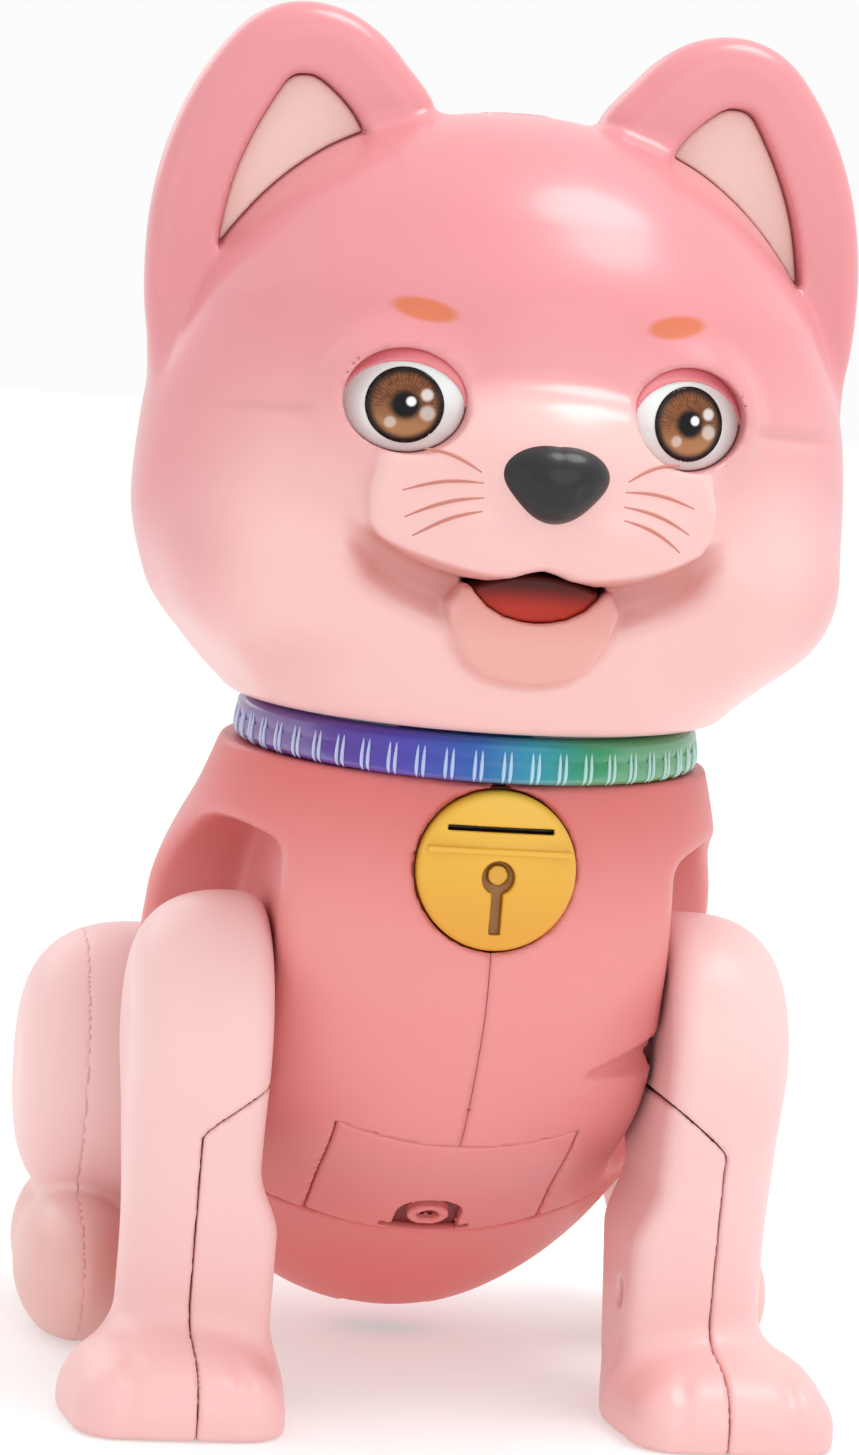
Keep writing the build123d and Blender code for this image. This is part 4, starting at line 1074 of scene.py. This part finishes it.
def build_bell():
    y0 = BELL_FRONT_Y

    def bell(p):
        x, y, z = p[:, 0], p[:, 1], p[:, 2] - BELL[2]
        q = np.stack([x, y, z], -1)
        r = np.hypot(x, z)
        dome = y0 + 0.9 + r * r * 0.006
        d = common(r - 13.75, np.maximum(dome - y, y - (y0 + 8.9)), 1.6)
        d = cut(d, box(q, (0, y0 + 1.8, 7.2), (9.2, 2.6, 0.48), 0.2), 0.2)
        ridge = box(q, (0, y0 + 1.1, 3.5), (12.6, 0.85, 0.55), 0.3)
        d = join(d, ridge, 0.3)
        key = np.hypot(x, z + 1.0) - 2.9
        stem = np.maximum(np.abs(x) - 1.0, np.abs(z + 6.4) - 4.4)
        key = np.maximum(np.minimum(key, stem), y - (y0 + 3.2))
        d = cut(d, key, 0.4)
        boss = np.maximum(np.hypot(x, z + 0.6) - 1.7, np.abs(y - (y0 + 2.9)) - 0.8)
        return join(d, boss, 0.2)

    shape = surface(bell, (-14, y0 - 0.5, BELL[2] - 14), (14, y0 + 10, BELL[2] + 14), 0.38)
    mesh_piece("bell_cap", shape, "bell_button", ["bell_button"], M["bell"])
    # A dark ring in the gap round the bell: painted shade in the gap.
    steps = 96
    section = [(13.95, -47.8), (14.2, -47.8), (14.2, -42.5), (13.95, -42.5)]
    vertices = []
    for i in range(steps):
        angle = 2 * math.pi * i / steps
        for r, y in section:
            vertices.append((BELL[0] + r * math.cos(angle), y, BELL[2] + r * math.sin(angle)))
    faces = ring_faces(steps, len(section))
    mesh_piece("bell_gap_painted_shade", (vertices, faces), "torso", material=M["painted_shade_dark"])


# ---- legs --------------------
FOOT_MIDDLE_X = 48.2


def front_leg(p):
    x, y, z = p[:, 0], p[:, 1], p[:, 2]
    hub = across_x(p, SHOULDER) - 23.8
    side_on = p * np.array([0, 1, 1], np.float32)
    shank = capsule(side_on, (0, SHOULDER[1] - 2, 62), (0, -26.5, 14), 20.5, 12.8)
    side_view = join(hub, shank, 6)
    inner_x = 35.0 - 3.6 * (1 - ease(z, 31, 43))
    outer_x = 58.4 - 0.9 * np.exp(-(((z - 32) / 16) ** 2))
    column = common(side_view, x - outer_x, 17.0)
    column = common(column, inner_x - x, 5.0)
    foot = ellipsoid(p, (FOOT_MIDDLE_X, -35.0, 2.0), (18.7, 23.4, 13.4))
    toe_cap = box(p, (FOOT_MIDDLE_X, -43.5, 1.6), (18.1, 15.3, 10.0), 8.5)
    foot = join(common(foot, -55.5 - y, 6.0), toe_cap, 5.0)
    d = join(column, foot, 5.0)
    for groove_x, lean in ((38.4, -0.10), (57.0, 0.10)):
        near = (groove_x + 13 * lean, -60.5, 1.0)
        top = (groove_x + 5 * lean, -58.5, 8.5)
        back = (groove_x - 2 * lean, -51.0, 13.5)
        d = cut(d, chain(p, (near, top, back), (0.9, 0.8, 0.2)), 2.4)
    recess = np.maximum(across_x(p, (0, -30.0, SCREW_Z)) - 2.6, x - 35.5)
    d = cut(d, recess, 0.6)
    return common(d, -z, 1.2)


def front_seam(p):
    """Signed distance from the leg's parting surface; negative on the inner side."""
    x, z = p[:, 0], p[:, 2]
    t = np.clip((z - 48.5) / 13.0, 0, 1)
    seam_x = 46.0 - 15.5 * 1.15 * t * t / (t + 0.15)
    return (x - seam_x) * (1 - 0.4 * ease(z, 48.5, 51.5) * (1 - ease(z, 61.0, 62.0)))


def hind_leg(p):
    x, y, z = p[:, 0], p[:, 1], p[:, 2]
    disc = np.hypot(y - HIP[1] - 0.5, z - HIP[2]) - 28.0
    thigh = common(disc, x - 71.4, 21.0)
    foot = ellipsoid(p, (59.8, 26, 12.0), (11.2, 26.5, 14.0))
    heel = ellipsoid(p, (59.4, 50, 13), (10.2, 14.0, 13.5))
    d = join(foot, heel, 6)
    d = join(thigh, d, 2.2)
    return common(common(d, -z, 1.2), HIP_FLAT_X + 0.6 - x, 1.0)


def hind_seam(p):
    return p[:, 0] - 60.0


def leg_half(p, form, seam, sign, gap, edge, lip):
    """One half of a leg; an inner half may reach past the seam by lip, just under the surface."""
    whole = form(p)
    d = common(whole, sign * seam(p) + gap, edge)
    if lip and sign > 0:
        d = np.minimum(d, np.maximum(whole + 0.12, seam(p) - lip))
    return d


def build_legs():
    # name, form, seam, box low, box high, gap, edge rounding, lip
    sets = [
        ("front_leg", front_leg, front_seam, (26, -62, 0), (69, 6, 90), 0.11, 0.30, 0),
        ("hind_leg", hind_leg, hind_seam, (46, -2, 0), (72.5, 72, 76), 0.0, 0.02, 1.4),
    ]
    for name, form, seam, low, high, gap, edge, lip in sets:
        for half, sign in (("outer", -1), ("inner", 1)):
            shape = surface(lambda p: leg_half(p, form, seam, sign, gap, edge, lip), low, high, LEG_STEP)
            replaced = [f"{name}_{half}_{{}}"]
            mesh_pair(f"{name}_{half}_cover_{{}}", shape, f"{name}_{{}}", replaced, M["leg"])


# ---- carried-over CAD nodes --------------------
CARRIED = {
    "dark": "bell_housing bell_switch battery_tray speaker switch_body neck_bearing neck_servo power_switch "
            "shoulder_servo_left shoulder_servo_right hip_servo_left hip_servo_right",
    "steel": "bell_spring charge_port shell_screws head_screws front_leg_screws_left front_leg_screws_right",
    "dark_steel": "door_screw",
    "board": "collar_led_board main_board head_board",
    "wrap": "battery_pack",
    "natural": "chassis_frame neck_post",
    # the horns and bushes seen at the scoop's end are dressed dark red as painted shade
    "painted_shade_dark": "shoulder_bushes hip_bushes "
              "shoulder_horn_left shoulder_horn_right hip_horn_left hip_horn_right",
    "rubber": "front_foot_pad_left front_foot_pad_right",
}


def dress_carried():
    for key, names in CARRIED.items():
        for name in names.split():
            node = frame["nodes"][name]
            if not node.material_slots:
                node.data.materials.append(M[key])
            for slot in node.material_slots:
                slot.material = M[key]


# ---- stage --------------------
def build_camera():
    azimuth, elevation, roll = math.radians(-10.5), math.radians(4.7), math.radians(4.1)
    level = math.cos(elevation)
    back = Vector((math.sin(azimuth) * level, -math.cos(azimuth) * level, math.sin(elevation)))
    look_at, distance = Vector((0, -9, 120)) * MM, 0.787
    place = look_at + back * distance
    right = (-back).cross(Vector((0, 0, 1))).normalized()
    up = right.cross(-back)
    turned_right = math.cos(roll) * right + math.sin(roll) * up
    turned_up = -math.sin(roll) * right + math.cos(roll) * up
    camera = bpy.data.cameras.new("camera")
    camera.sensor_width = 36
    camera.lens = 109.0
    camera.shift_x, camera.shift_y = -0.0237, -0.0052
    camera.clip_start, camera.clip_end = 0.05, 20
    holder = bpy.data.objects.new("camera", camera)
    bpy.context.collection.objects.link(holder)
    turn = Matrix((turned_right, turned_up, back)).transposed().to_4x4()
    holder.matrix_world = Matrix.Translation(place) @ turn
    bpy.context.scene.camera = holder


def area_light(name, place, target, size, power):
    light = bpy.data.lights.new(name, "AREA")
    light.shape, light.size, light.energy = "DISK", size, power
    holder = bpy.data.objects.new(name, light)
    bpy.context.collection.objects.link(holder)
    holder.location = place
    holder.rotation_mode = "QUATERNION"
    holder.rotation_quaternion = (Vector(target) - Vector(place)).to_track_quat("-Z", "Y")


def build_stage():
    half, z = 12.0, -0.0002
    mesh = bpy.data.meshes.new("floor")
    corners = [(-half, -half, z), (half, -half, z), (half, half, z), (-half, half, z)]
    mesh.from_pydata(corners, [], [(0, 1, 2, 3)])
    floor = bpy.data.objects.new("floor", mesh)
    bpy.context.collection.objects.link(floor)
    nodes = Nodes("pale_floor")
    nodes.set("Emission Color", (1, 1, 1, 1))
    nodes.set("Emission Strength", 0.385)
    mesh.materials.append(nodes.finish((0.60, 0.60, 0.60), 0.7, bump=0.0))
    area_light("key", (0.38, -0.15, 1.15), (0.02, -0.02, 0.16), 0.55, 5.2)
    area_light("front", (0.35, -1.2, 0.60), (0.0, 0, 0.12), 0.9, 1.8)
    area_light("fill", (-1.0, -0.7, 0.35), (0, 0, 0.12), 0.8, 0.5)
    area_light("rim", (-0.5, 0.9, 0.7), (0, 0, 0.12), 0.8, 1.5)
    world = bpy.data.worlds.new("world")
    bpy.context.scene.world = world
    world.use_nodes = True
    background = world.node_tree.nodes["Background"]
    background.inputs["Color"].default_value = (1, 1, 1, 1)
    background.inputs["Strength"].default_value = 0.97
    bpy.context.scene.view_settings.view_transform = "Standard"


FACE_STEP = 0.8
LEG_STEP = 0.8
build_camera()
build_torso()
build_head()
build_whiskers()
build_collar()
build_bell()
build_legs()
dress_carried()
build_stage()
